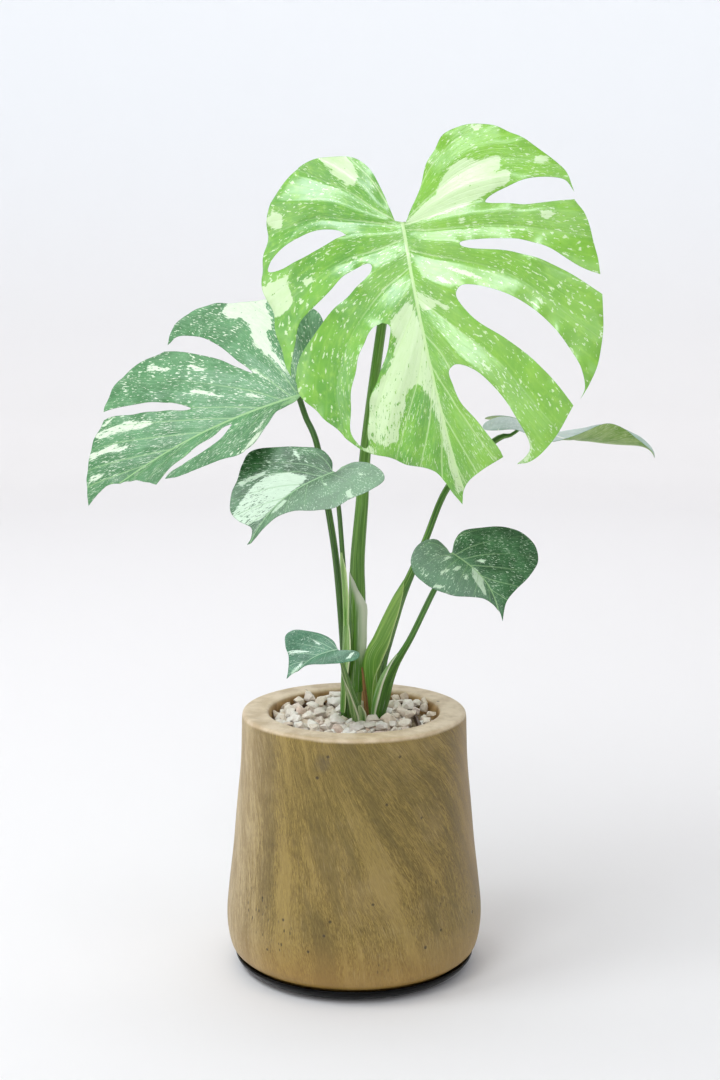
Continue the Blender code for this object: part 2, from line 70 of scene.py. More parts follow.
def add_mesh(name, verts, faces, mats):
    mesh = bpy.data.meshes.new(name)
    mesh.from_pydata([tuple(v) for v in verts], [], [tuple(f) for f in faces])
    mesh.validate()
    for mat in mats:
        mesh.materials.append(mat)
    mesh.shade_smooth()
    mesh.set_sharp_from_angle(angle=math.radians(50))
    ob = bpy.data.objects.new(name, mesh)
    scene_root.objects.link(ob)
    return ob


def vector_attribute(ob, name, domain, rows):
    layer = ob.data.attributes.new(name, "FLOAT_VECTOR", domain)
    layer.data.foreach_set("vector", np.asarray(rows, np.float32).ravel())


def ring_quads(rows, sides, first=0):
    """Quads between successive rings of vertices."""
    quads = []
    for low in range(first, first + (rows - 1) * sides, sides):
        for k in range(sides):
            j = (k + 1) % sides
            quads.append((low + k, low + j, low + sides + j, low + sides + k))
    return quads


def turned_point(r, t, z):
    """Metres from a radius in mm, a turn in radians and a height in mm."""
    return r * math.cos(t) * MM, r * math.sin(t) * MM, z * MM


def smooth_path(points, step):
    """Catmull-Rom curve through the points, sampled about every step."""
    pts = [np.array(p, float) for p in points]
    ends = [2 * pts[0] - pts[1]] + pts + [2 * pts[-1] - pts[-2]]
    out = []
    for i in range(1, len(ends) - 2):
        p0, p1, p2, p3 = ends[i - 1:i + 3]
        count = max(1, int(round(np.linalg.norm(p2 - p1) / step)))
        for k in range(count):
            t = k / count
            out.append(0.5 * (2 * p1 + (p2 - p0) * t + (2 * p0 - 5 * p1 + 4 * p2 - p3) * t * t
                              + (3 * p1 - p0 - 3 * p2 + p3) * t ** 3))
    out.append(pts[-1])
    return out


class Material:
    """A node material under construction: most methods add a node and return its output socket."""

    def __init__(self, name):
        self.mat = bpy.data.materials.new(name)
        self.mat.use_nodes = True
        self.tree = self.mat.node_tree

    def feed(self, socket, value):
        if isinstance(value, bpy.types.NodeSocket):
            self.tree.links.new(value, socket)
        else:
            if isinstance(value, tuple) and len(value) == 3 and len(socket.default_value) == 4:
                value = (*value, 1.0)
            socket.default_value = value

    def finish(self, **values):
        """Feeds the shader's sockets, named with _ for a space, and returns the material."""
        for key, value in values.items():
            self.feed(self.tree.nodes["Principled BSDF"].inputs[key.replace("_", " ")], value)
        return self.mat

    def node(self, kind, inputs=(), **settings):
        made = self.tree.nodes.new(kind)
        for key, value in settings.items():
            setattr(made, key, value)
        for key, value in dict(inputs).items():
            self.feed(made.inputs[key], value)
        return made

    def attribute(self, name):
        """The three numbers of a vector attribute."""
        return self.split(self.node("ShaderNodeAttribute", attribute_name=name).outputs["Vector"])

    def split(self, vector):
        return self.node("ShaderNodeSeparateXYZ", {0: vector}).outputs

    def join(self, x, y, z=0.0):
        return self.node("ShaderNodeCombineXYZ", {0: x, 1: y, 2: z}).outputs[0]

    def position(self):
        return self.node("ShaderNodeTexCoord").outputs["Object"]

    def math(self, operation, *values):
        return self.node("ShaderNodeMath", enumerate(values), operation=operation).outputs[0]

    plus = partialmethod(math, "ADD")
    minus = partialmethod(math, "SUBTRACT")
    times = partialmethod(math, "MULTIPLY")
    line = partialmethod(math, "MULTIPLY_ADD")
    larger = partialmethod(math, "MAXIMUM")

    def noise(self, vector, scale, detail=2.0, rough=0.5):
        values = {"Vector": vector, "Scale": scale, "Detail": detail, "Roughness": rough}
        return self.node("ShaderNodeTexNoise", values).outputs[0]

    def cells(self, vector, scale):
        """Distance to the nearest of many scattered points."""
        return self.node("ShaderNodeTexVoronoi", {"Vector": vector, "Scale": scale}).outputs["Distance"]

    def step(self, value, low, high, out_low=0.0, out_high=1.0):
        """Smooth rise of value from low to high."""
        values = enumerate((value, low, high, out_low, out_high))
        return self.node("ShaderNodeMapRange", values, interpolation_type="SMOOTHSTEP").outputs[0]

    def mix(self, factor, a, b):
        return self.node("ShaderNodeMix", {0: factor, 6: a, 7: b}, data_type="RGBA").outputs[2]

    def layers(self, colour, *coats):
        """Lays coats over the colour, each by its factor."""
        for factor, coat in coats:
            colour = self.mix(factor, colour, coat)
        return colour

    def bump(self, height, distance, strength):
        values = {"Height": height, "Distance": distance, "Strength": strength}
        return self.node("ShaderNodeBump", values).outputs[0]


def srgb(r, g, b):
    """Linear colour of an sRGB one in 0 to 255."""
    return tuple((c / 255 / 12.92) if c <= 10 else ((c / 255 + 0.055) / 1.055) ** 2.4 for c in (r, g, b))


# Leaf surfaces, in mm and degrees. Each blade lies on a curved sheet: a runs along the midrib from the
# sinus to the tip, b to the side. heading, pitch and roll turn the sheet. droop bends the midrib down, back
# its part behind the sinus and tip_droop its last quarter. bow bends it sideways. fold lifts each half, grow
# adds to it over the ramp, a start and a span in shares of the length, arch rolls each half back, and cup
# takes from arch. wave is a height, a first crest and a period. cell is the mesh size. pleat is the height
# between the veins, and relief its share at each vein, for the right and the left half.
COMMON = dict(roll=0, back=-10, tip_droop=6, grow=(0, 0), cup=(0, 0), bow=0, ramp=(0.1, 0.45),
              relief=([1], [1]))
LEAVES = {
    "A": dict(at=(36.3, -5.0, 574.1), heading=-72, pitch=64, roll=42, length=215, width=140, droop=22,
              tip_droop=10, fold=(14, 14), arch=(38, 38), cell=2.3, pleat=3.4,
              relief=([0.7, 0.8, 0.9, 1.1, 1.3, 1.4, 1.6, 1.6, 1.2], [0.8, 1.0, 1.3, 1.2, 1.1, 1.0])),
    "B": dict(at=(-40.0, 30.0, 442.8), heading=181, pitch=22, roll=-30, length=190, width=100, droop=14,
              fold=(18, 24), arch=(20, 20), bow=-9, cell=2.3, pleat=1.5),
    "C": dict(at=(-13.9, -30.0, 391.4), heading=200, pitch=32, roll=-25, length=85, width=50, droop=14,
              fold=(22, 24), arch=(15, 15), bow=-11, cell=1.5, pleat=0.7),
    "D": dict(at=(72.1, -40.0, 332.1), heading=-41, pitch=39, roll=15, length=65, width=50, droop=14,
              fold=(22, 22), arch=(15, 15), bow=9, cell=1.4, pleat=0.7),
    "E": dict(at=(129.4, 40.0, 422.4), heading=-5, pitch=23, length=113, width=50, droop=-28, back=130,
              tip_droop=100, fold=(-8, -3), grow=(28, 4), arch=(6, 6), cup=(0, 90), cell=1.7, pleat=0.6,
              ramp=(0.12, 0.6), wave=(3, 6, 76)),
    "F": dict(at=(-11.8, -45.0, 259.5), heading=183, pitch=23, roll=-20, length=45, width=25, droop=24,
              fold=(20, 26), arch=(15, 15), bow=-6, cell=1.0, pleat=0.4),
}
LEAVES = {key: {**COMMON, **leaf} for key, leaf in LEAVES.items()}


def mirrored(rows):
    return [[(a, -b) for a, b in run] for run in rows]


# Margins in mm, from the sinus to the tip on each side. Every list is one smooth run between corners.
RIGHT = {
    "A": [[(2, 3), (-14, 14), (-40, 31), (-55, 49), (-54, 73), (-38, 97), (-8, 125), (14, 132)], [(14, 132),
         (4, 125), (-1, 105), (1, 80), (6, 67), (11, 77), (16, 93), (19, 110), (20, 131)], [(20, 131),
         (38, 137), (60, 139), (80, 138)], [(80, 138), (71, 125), (50, 103), (39, 80), (32, 52), (33, 44),
         (38, 50), (46, 72), (57, 94), (72, 114), (95, 136)], [(95, 136), (118, 132), (141, 123), (155, 113),
         (164, 104)], [(164, 104), (157, 109), (146, 110), (135, 108), (110, 98), (88, 82), (72, 62),
         (63, 42), (67, 34), (75, 35), (91, 45), (109, 63), (129, 79), (150, 91), (167, 98)], [(167, 98),
         (184, 81), (193, 68), (197, 57), (196, 48)], [(196, 48), (192, 56), (186, 60), (172, 59), (149, 51),
         (127, 38), (117, 24), (118, 15), (127, 14), (145, 19), (164, 29), (181, 38), (189, 39)], [(189, 39),
         (193, 24), (198, 10), (204, 1), (215, -4)]],
    "B": [[(1, 3), (6, 9), (20, 14), (31, 34), (43, 52), (56, 57), (72, 53), (90, 49), (105, 46), (117, 39)],
         [(117, 39), (112, 33), (100, 31), (84, 29), (68, 18), (58, 4), (66, 4), (78, 10), (94, 14),
         (109, 23), (118, 31), (125, 39)], [(125, 39), (136, 22), (152, 2), (166, -8), (178, -8), (190, -3)]],
    "C": [[(0, 1), (-8, 0), (-16, 8), (-21, 27), (-20, 48), (-12, 55), (7, 50), (22, 46), (32, 37), (42, 19),
         (52, 7), (66, 2), (77, 1), (85, -2)]],
    "D": [[(0, 1), (-7, 9), (-10, 19), (-5, 32), (3, 48), (14, 58), (27, 60), (38, 54), (45, 40), (49, 25),
         (53, 14), (59, 7), (65, 2)]],
    "E": [[(0, 2), (-14, 7), (-27, 20), (-30, 36), (-20, 48), (4, 53), (35, 50), (62, 41), (84, 27),
         (98, 12), (110, 0)]],
    "F": [[(-1, 3), (-6, 9), (-13, 19), (-15, 27), (-11, 31), (-2, 28), (8, 21), (17, 12), (26, 1), (36, -4),
         (45, -4)]],
}
LEFT = {
    "A": [[(-3, -6), (-25, -11), (-49, -19), (-63, -34), (-68, -60), (-66, -80), (-56, -97), (-33, -114),
         (-9, -121), (14, -125), (38, -122), (60, -120), (76, -116), (89, -112)], [(89, -112), (78, -108),
         (66, -104), (51, -95), (39, -71), (27, -46), (25, -31), (31, -29), (40, -40), (51, -61), (63, -79),
         (78, -99), (93, -109)], [(93, -109), (104, -107), (121, -96), (145, -78), (161, -62), (168, -47),
         (176, -36), (185, -18), (196, -11), (206, -8), (215, -4)]],
    "B": [[(-1, -2), (-18, -12), (-32, -30), (-36, -54), (-33, -75), (-13, -102), (22, -123), (50, -140),
         (70, -139), (82, -126), (87, -113)], [(87, -113), (76, -116), (60, -102), (48, -82), (38, -58),
         (30, -40), (36, -46), (50, -66), (68, -86), (80, -98), (91, -107)], [(91, -107), (106, -107),
         (124, -107), (139, -97), (149, -84), (152, -77)], [(152, -77), (140, -73), (125, -67), (105, -55),
         (90, -42), (85, -35), (93, -38), (108, -47), (130, -58), (147, -67), (154, -69)], [(154, -69),
         (168, -54), (181, -30), (186, -17), (190, -3)]],
    "C": [[(1, -2), (-4, -10), (-3, -23), (8, -37), (22, -52), (35, -62), (46, -58), (56, -50), (67, -43),
         (76, -32), (77, -21), (74, -10), (79, -4), (85, -2)]],
    "D": [[(0, -1), (-7, 0), (-14, -4), (-15, -18), (-10, -34), (1, -48), (12, -52), (25, -47), (36, -33),
         (42, -14), (48, -1), (56, 4), (65, 2)]],
    "E": mirrored(RIGHT["E"]),
    "F": [[(0, -1), (1, -10), (7, -21), (16, -32), (25, -42), (32, -42), (35, -31), (36, -20), (41, -9),
         (45, -4)]],
}
HOLES = {
    "A": [[(-1, -44), (-8, -52), (-13, -68), (-14, -84), (-10, -100), (-3, -113), (3, -117), (6, -108),
         (6, -88), (3, -70), (1, -54)], [(72, -28), (74, -36), (82, -45), (100, -56), (123, -66), (142, -71),
         (155, -66), (156, -61), (143, -57), (123, -50), (105, -37), (86, -26), (76, -23)]],
}

# Lateral veins in mm from the midrib outwards, from the base to the tip, on the b > 0 and b < 0 sides.
VEINS = {
    "A": ([[(0, 1), (-14, 12), (-32, 30), (-46, 50), (-52, 70)], [(1, 1), (-12, 28), (-22, 52), (-25, 80),
          (-14, 108)], [(3, 1), (4, 28), (5, 52), (8, 78), (12, 118)], [(6, 1), (14, 22), (20, 48), (28, 80),
          (44, 122)], [(22, 1), (33, 20), (44, 42), (66, 78), (108, 114)], [(60, 1), (74, 12), (94, 29),
          (122, 52), (165, 74)], [(88, 1), (104, 10), (124, 18), (150, 34), (188, 54)], [(112, 1), (132, 8),
          (158, 18), (186, 30)], [(145, 0), (165, 6), (188, 13), (202, 16)]],
          [[(0, -1), (-18, -10), (-38, -18), (-54, -28)], [(0, -2), (-14, -18), (-34, -36), (-52, -58)],
          [(2, -3), (-5, -20), (-14, -42), (-24, -66), (-26, -96)], [(13, -3), (16, -25), (16, -48),
          (22, -74), (32, -108)], [(37, -3), (44, -18), (55, -34), (75, -56), (104, -74), (132, -78)],
          [(68, -3), (84, -14), (106, -30), (132, -46), (150, -52)], [(98, -3), (120, -12), (144, -26),
          (164, -38)], [(130, -3), (152, -11), (174, -22), (184, -28)], [(160, -3), (180, -9), (196, -13)]]),
    "B": ([[(2, -1), (14, 4), (24, 14), (34, 32)], [(8, -2), (22, 12), (36, 34), (50, 54)], [(22, -5),
          (36, 12), (52, 34), (76, 52)], [(42, -7), (52, 8), (66, 24), (92, 44)], [(66, -9), (78, 0),
          (92, 10), (112, 26)], [(92, -10), (104, -2), (118, 8), (132, 20)], [(118, -10), (130, -4),
          (144, 2), (150, 6)], [(148, -8), (158, -6), (166, -5)]],
          [[(0, -2), (-12, -20), (-22, -46), (-26, -70)], [(1, -3), (-2, -30), (-3, -66), (10, -104)],
          [(3, -3), (9, -28), (19, -60), (28, -92), (52, -126)], [(9, -4), (17, -20), (26, -38), (44, -62),
          (66, -92)], [(18, -6), (36, -24), (62, -46), (90, -70), (122, -96)], [(36, -7), (58, -20),
          (82, -34), (106, -54), (140, -80)], [(58, -9), (86, -24), (116, -40), (142, -54), (158, -62)],
          [(86, -11), (114, -24), (144, -38), (170, -48)], [(116, -11), (142, -20), (166, -28), (180, -32)],
          [(146, -10), (164, -14), (182, -18)]]),
    "C": ([[(1, 0), (-8, 12), (-14, 30), (-16, 44)], [(4, -2), (2, 14), (0, 30), (2, 46)], [(10, -5),
          (14, 10), (16, 26), (22, 42)], [(20, -9), (27, 4), (34, 16), (38, 26)], [(34, -10), (41, -2),
          (47, 6), (50, 10)], [(50, -9), (58, -4), (64, 0)]],
          [[(1, -1), (0, -14), (4, -28), (16, -44)], [(5, -5), (11, -18), (22, -32), (38, -50)], [(12, -8),
          (20, -20), (34, -32), (54, -46)], [(24, -10), (36, -20), (52, -30), (68, -38)], [(40, -11),
          (52, -17), (64, -22), (75, -26)], [(56, -10), (66, -12), (74, -14)]]),
    "D": ([[(0, 1), (-6, 8), (-8, 16), (-4, 30)], [(3, 3), (4, 16), (8, 32), (14, 50)], [(9, 6), (14, 20),
          (22, 36), (32, 52)], [(17, 9), (25, 20), (34, 32), (42, 42)], [(28, 10), (36, 16), (44, 24),
          (48, 28)], [(40, 9), (47, 12), (52, 14)]],
          [[(0, -1), (-8, -6), (-12, -16), (-8, -32)], [(2, -1), (2, -14), (4, -30), (8, -48)], [(7, 1),
          (11, -12), (16, -26), (24, -42)], [(14, 6), (19, -4), (25, -16), (34, -30)], [(24, 8), (30, 0),
          (36, -8), (40, -14)], [(36, 8), (42, 4), (48, 0)]]),
    "F": ([[(0, 0), (-6, 8), (-9, 18), (-9, 28)], [(3, -1), (3, 8), (2, 18), (2, 26)], [(8, -4), (10, 4),
          (12, 12), (14, 16)], [(16, -6), (20, 0), (24, 4)], [(26, -6), (30, -3), (34, -2)]],
          [[(0, -1), (3, -10), (8, -20), (16, -30)], [(4, -4), (10, -14), (18, -26), (26, -40)], [(9, -7),
          (17, -16), (26, -26), (33, -34)], [(18, -8), (26, -15), (33, -20), (36, -23)], [(28, -8),
          (34, -11), (39, -12)]]),
}
VEINS_E = [[(0, 1), (-14, 12), (-22, 26), (-24, 40)], [(3, 1), (4, 16), (8, 32), (14, 50)], [(14, 1),
    (24, 14), (38, 28), (50, 42)], [(32, 1), (46, 12), (60, 24), (72, 32)], [(52, 1), (66, 10), (80, 18),
    (88, 22)], [(74, 1), (86, 6), (98, 9)]]
VEINS["E"] = (VEINS_E, mirrored(VEINS_E))

# Cream patches of the blades: closed outlines in mm.
CREAM = {
    "A": [[(2, 2), (-6, 20), (-10, 30), (-18, 36), (-28, 47), (-30, 58), (-26, 66), (-25, 84), (-16, 83),
         (-12, 79), (-13, 88), (-6, 90), (-1, 84), (0, 76), (2, 66), (4, 60), (6, 52), (6, 22), (4, 4)],
         [(-17, 108), (-18, 113), (-14, 120), (-11, 114), (-13, 107)], [(-55, 67), (-54, 74), (-50, 75),
         (-49, 68)], [(26, 105), (26, 112), (30, 116), (32, 110), (29, 106)], [(47, 30), (49, 38), (56, 48),
         (63, 55), (61, 50), (54, 40)], [(51, 21), (54, 27), (60, 33), (57, 25)], [(55, 2), (62, 10),
         (68, 18), (75, 26), (76, 22), (70, 15), (72, 5), (64, 1)], [(122, 42), (126, 46), (130, 47),
         (124, 43)], [(186, 43), (197, 47), (196, 55), (188, 62), (178, 62), (185, 58), (190, 52)],
         [(152, -69), (159, -64), (164, -57), (158, -57), (154, -63)], [(14, 46), (15, 51), (18, 50),
         (17, 46)], [(31, 92), (30, 98), (32, 98)], [(-76, -60), (-60, -52), (-48, -44), (-40, -38),
         (-38, -31), (-44, -28), (-56, -31), (-66, -36), (-74, -44)], [(-38, -111), (-41, -104), (-38, -98),
         (-33, -96), (-28, -101), (-30, -109), (-34, -112)], [(12, -126), (13, -98), (20, -101), (32, -100),
         (38, -104), (39, -122), (30, -126)], [(20, -88), (21, -80), (24, -77), (26, -86)], [(60, -5),
         (66, -13), (72, -22), (82, -23), (86, -20), (94, -24), (106, -33), (116, -44), (130, -57),
         (151, -59), (160, -47), (158, -36), (147, -32), (136, -26), (124, -20), (121, -12), (128, -8),
         (136, -5), (160, -4), (206, -5), (206, 0), (150, 1), (110, -1), (80, -1)]],
    "B": [[(1, -112), (3, -100), (2, -86), (4, -74), (9, -71), (10, -60), (9, -48), (5, -34), (3, -22),
         (6, -26), (13, -48), (17, -50), (17, -58), (21, -60), (22, -74), (20, -88), (24, -100), (35, -108),
         (37, -120), (30, -130), (16, -124)], [(14, -10), (18, -21), (21, -28), (26, -35), (31, -42),
         (27, -42), (23, -33), (20, -26), (16, -18)], [(30, -14), (36, -20), (44, -27), (38, -18)],
         [(57, -29), (64, -38), (72, -46), (81, -53), (80, -47), (72, -41), (63, -33)], [(63, -62),
         (68, -70), (75, -75), (71, -67)], [(86, -82), (94, -87), (100, -93), (108, -99), (108, -94),
         (100, -87), (95, -83)], [(116, -39), (122, -46), (135, -54), (150, -58), (166, -60), (162, -53),
         (148, -49), (138, -45), (128, -41)], [(139, -30), (148, -35), (152, -40), (163, -43), (176, -46),
         (174, -38), (160, -37), (150, -31)], [(167, -19), (178, -25), (183, -21), (172, -18)], [(110, -14),
         (125, -20), (118, -16)], [(144, -70), (150, -66), (162, -64), (152, -62), (144, -66)], [(35, 38),
         (40, 48), (47, 54), (54, 58), (48, 48), (42, 41)], [(20, 2), (26, 10), (30, 15), (24, 7)],
         [(30, 20), (38, 33), (45, 39), (36, 26)]],
    "C": [[(17, -12), (20, -16), (26, -26), (33, -31), (42, -35), (50, -36), (60, -34), (70, -31), (79, -28),
         (80, -18), (74, -14), (64, -10), (46, -11), (30, -11), (22, -11)], [(35, -38), (46, -43), (58, -48),
         (59, -43), (48, -40), (40, -37)], [(12, -37), (14, -34), (13, -27), (11, -32)], [(5, -34), (6, -31),
         (5, -28)], [(42, -9), (41, -4), (45, -2), (51, -2), (57, -6), (54, -8)], [(5, 39), (7, 43), (8, 49),
         (11, 50), (12, 44), (9, 38)], [(-9, 26), (-12, 35), (-10, 34), (-8, 30)], [(14, 7), (15, 13),
         (13, 16), (12, 11)]],
    "D": [[(17, 7), (20, 9), (26, 9), (30, 9), (33, 5), (38, 2), (44, -1), (42, -4), (36, -3), (30, -3),
         (25, -2), (22, 2)], [(5, -3), (7, -19), (5, -15), (3, -8)], [(14, -5), (16, -18), (18, -14),
         (16, -6)], [(15, -30), (18, -32), (16, -20), (14, -22)], [(26, -13), (28, -11), (22, -4), (24, -9)],
         [(15, 12), (19, 16), (19, 19), (16, 17)], [(25, -46), (28, -41), (27, -36), (23, -42)]],
    "E": [[(50, 8), (62, 16), (76, 26), (70, 15), (58, 8)], [(4, 22), (10, 34), (14, 46), (16, 36),
         (10, 24)], [(20, -12), (34, -24), (46, -34), (38, -18), (26, -10)]],
    "F": [[(10, -12), (13, -18), (15, -21), (12, -13)], [(18, -10), (22, -15), (29, -21), (37, -26),
         (34, -21), (26, -16)], [(28, -9), (35, -7), (43, -4), (38, -4), (30, -6)], [(-12, 20), (-8, 26),
         (-4, 25), (-9, 19)]],
}


def leaf_frame(leaf):
    h, p, r = (math.radians(leaf[k]) for k in ("heading", "pitch", "roll"))
    along = np.array([math.cos(p) * math.cos(h), math.cos(p) * math.sin(h), -math.sin(p)])
    level = np.array([-math.sin(h), math.cos(h), 0.0])
    side = level * math.cos(r) + np.cross(along, level) * math.sin(r)
    return along, side, np.cross(along, side)


def off_rib(leaf, ab):
    """Signed distance in mm from the midrib."""
    t = np.clip(ab[:, 0] / leaf["length"], 0, 1)
    return ab[:, 1] - leaf["bow"] * np.sin(math.pi * t)


def on_leaf(leaf, ab):
    """World points in mm of the leaf's middle sheet at the rows (a, b)."""
    along, side, up = leaf_frame(leaf)
    a, b = ab[:, 0], ab[:, 1]
    steps = 24
    forward = np.zeros(len(ab))
    below = np.zeros(len(ab))
    for k in range(steps):
        f = (k + 0.5) / steps * a / leaf["length"]
        bend = np.where(a >= 0, leaf["droop"] * f, leaf["back"] * f)
        bend = np.radians(bend + leaf["tip_droop"] * np.maximum(0.0, (f - 0.75) / 0.25) ** 2)
        forward += np.cos(bend) * a / steps
        below += np.sin(bend) * a / steps
    rel = off_rib(leaf, ab)
    half = np.where(rel >= 0, 0, 1)
    start, span = leaf["ramp"]
    ramp = np.clip((a / leaf["length"] - start) / span, 0, 1)
    ramp = ramp * ramp * (3 - 2 * ramp)
    fold = np.radians(np.array(leaf["fold"])[half] + np.array(leaf["grow"])[half] * ramp)
    rolled = np.array(leaf["arch"])[half] - np.array(leaf["cup"])[half] * ramp
    curl = np.radians(rolled + 1e-4) / leaf["width"]
    run = (np.sin(fold) - np.sin(fold - curl * abs(rel))) / curl
    rise = (np.cos(fold - curl * abs(rel)) - np.cos(fold)) / curl
    if "wave" in leaf:
        height, first, period = leaf["wave"]
        rise += half * height * abs(rel) / leaf["width"] * np.cos(2 * math.pi * (a - first) / period)
    normal = np.outer(np.sin(bend), along) + np.outer(np.cos(bend), up)
    out = np.copysign(run, rel) + (b - rel)
    flat = np.outer(forward, along) - np.outer(below, up) + np.outer(out, side)
    return np.array(leaf["at"]) + flat + rise[:, None] * normal


def unit(rows):
    return rows / np.maximum(1e-9, np.linalg.norm(rows, axis=1))[:, None]


def leaf_normals(leaf, ab, surface):
    step = 0.8
    da = surface(leaf, ab + (step, 0)) - surface(leaf, ab - (step, 0))
    db = surface(leaf, ab + (0, step)) - surface(leaf, ab - (0, step))
    return unit(np.cross(da, db))


def sides_of(polygon):
    return zip(polygon, polygon[1:] + polygon[:1])


def inside(points, polygon):
    x, y = points[:, 0], points[:, 1]
    hit = np.zeros(len(points), bool)
    for (x1, y1), (x2, y2) in sides_of(polygon):
        if y1 != y2:
            hit ^= ((y1 > y) != (y2 > y)) & (x < (x2 - x1) * (y - y1) / (y2 - y1) + x1)
    return hit


def edge_distance(points, polygon):
    """Distance to a closed outline, positive inside it."""
    best = np.full(len(points), 1e9)
    for p, q in sides_of(polygon):
        p, q = np.array(p, float), np.array(q, float)
        t = np.clip((points - p) @ (q - p) / max(1e-9, (q - p) @ (q - p)), 0, 1)
        best = np.minimum(best, np.linalg.norm(points - p - t[:, None] * (q - p), axis=1))
    return np.where(inside(points, polygon), best, -best)


class Flow:
    """Curved coordinates that follow a blade's lateral veins on one side: q counts the veins from the
    base to the tip, and t runs along them from the midrib outwards."""
    ROWS = 24

    def __init__(self, veins):
        rows = []
        for vein in veins:
            path = np.array(smooth_path(vein, 1.0))
            reach = np.concatenate([[0], np.cumsum(np.linalg.norm(np.diff(path, axis=0), axis=1))])
            at = np.linspace(0, reach[-1], self.ROWS)
            rows.append(np.stack([np.interp(at, reach, path[:, k]) for k in (0, 1)], 1))
        rows = [2 * rows[0] - rows[1]] + rows + [2 * rows[-1] - rows[-2]]
        self.grid = np.array(rows)

    def at(self, q, t):
        grid = self.grid
        i = np.clip(np.floor(q).astype(int), 0, len(grid) - 2)
        j = np.clip(np.floor(t * (self.ROWS - 1)).astype(int), 0, self.ROWS - 2)
        f = (q - i)[:, None]
        g = (t * (self.ROWS - 1) - j)[:, None]
        low = grid[i, j] * (1 - g) + grid[i, j + 1] * g
        high = grid[i + 1, j] * (1 - g) + grid[i + 1, j + 1] * g
        return low * (1 - f) + high * f

    def slopes(self, q, t):
        h = 0.02
        along_q = (self.at(q + h, t) - self.at(q - h, t)) / (2 * h)
        along_t = (self.at(q, t + h) - self.at(q, t - h)) / (2 * h)
        return along_q, along_t

    def find(self, points):
        """q, distance run along the vein in mm, and mm across per unit of q, for each point."""
        q0 = np.repeat(np.linspace(0.0, len(self.grid) - 1, 90), 40)
        t0 = np.tile(np.linspace(0.0, 1.3, 40), 90)
        tree = KDTree(len(q0))
        for k, (x, y) in enumerate(self.at(q0, t0)):
            tree.insert((x, y, 0), k)
        tree.balance()
        near = [tree.find((x, y, 0))[1] for x, y in points]
        q, t = q0[near], t0[near]
        for _ in range(8):
            dq, dt = self.slopes(q, t)
            miss = points - self.at(q, t)
            det = dq[:, 0] * dt[:, 1] - dq[:, 1] * dt[:, 0]
            det = np.where(abs(det) < 1.0, np.copysign(1.0, det), det)
            step_q = (miss[:, 0] * dt[:, 1] - miss[:, 1] * dt[:, 0]) / det
            step_t = (dq[:, 0] * miss[:, 1] - dq[:, 1] * miss[:, 0]) / det
            q = np.clip(q + np.clip(step_q, -0.25, 0.25), -0.5, len(self.grid) - 0.5)
            t = np.clip(t + np.clip(step_t, -0.1, 0.1), -0.1, 1.6)
        dq, dt = self.slopes(q, t)
        across = abs(dq[:, 0] * dt[:, 1] - dq[:, 1] * dt[:, 0]) / np.maximum(1.0, np.linalg.norm(dt, axis=1))
        return q, t * np.linalg.norm(dt, axis=1), across


def margin(key, step):
    halves = []
    for half in (RIGHT[key], LEFT[key]):
        halves.append([p for run in half for p in smooth_path(run, step)[:-1]])
    tip = np.array(RIGHT[key][-1][-1], float)
    return [tuple(p) for p in halves[0] + [tip] + halves[1][::-1]]


def blade_sheet(key):
    """Points (a, b) and triangles of one blade, with its margin, its holes and its midrib as edges."""
    leaf = LEAVES[key]
    cell = leaf["cell"]
    edge = margin(key, cell * 0.8)
    holes = [[tuple(p) for p in smooth_path(h + h[:1], cell * 0.8)[:-1]] for h in HOLES.get(key, [])]
    points = []
    edges = []
    for loop in [edge] + holes:
        first = len(points)
        points += loop
        edges += [(first + i, first + (i + 1) % len(loop)) for i in range(len(loop))]
    tip = leaf["length"]
    rib = [(a, leaf["bow"] * math.sin(math.pi * a / tip)) for a in np.arange(cell, tip - cell, cell)]
    first = len(points)
    points += rib
    edges += [(first + i, first + i + 1) for i in range(len(rib) - 1)]
    fixed = KDTree(len(points))
    for k, p in enumerate(points):
        fixed.insert((*p, 0), k)
    fixed.balance()
    low = np.array(edge).min(0)
    top = np.array(edge).max(0)
    hexes = []
    for row, a in enumerate(np.arange(low[0], top[0], cell * 0.866)):
        hexes += [(a, b) for b in np.arange(low[1] + (cell / 2 if row % 2 else 0), top[1], cell)]
    hexes = np.array(hexes)

    def on_blade(rows):
        hit = inside(rows, edge)
        for hole in holes:
            hit &= ~inside(rows, hole)
        return hit

    points += [tuple(p) for p in hexes[on_blade(hexes)] if fixed.find((*p, 0))[2] > cell * 0.5]
    flat = delaunay_2d_cdt([Vector(p) for p in points], edges, [], 0, 1e-6)
    verts = np.array([tuple(v) for v in flat[0]])
    faces = np.array(flat[2])
    faces = faces[on_blade(verts[faces].mean(1))]
    used = np.unique(faces)
    index = np.full(len(verts), -1)
    index[used] = np.arange(len(used))
    return verts[used], index[faces], [edge] + holes


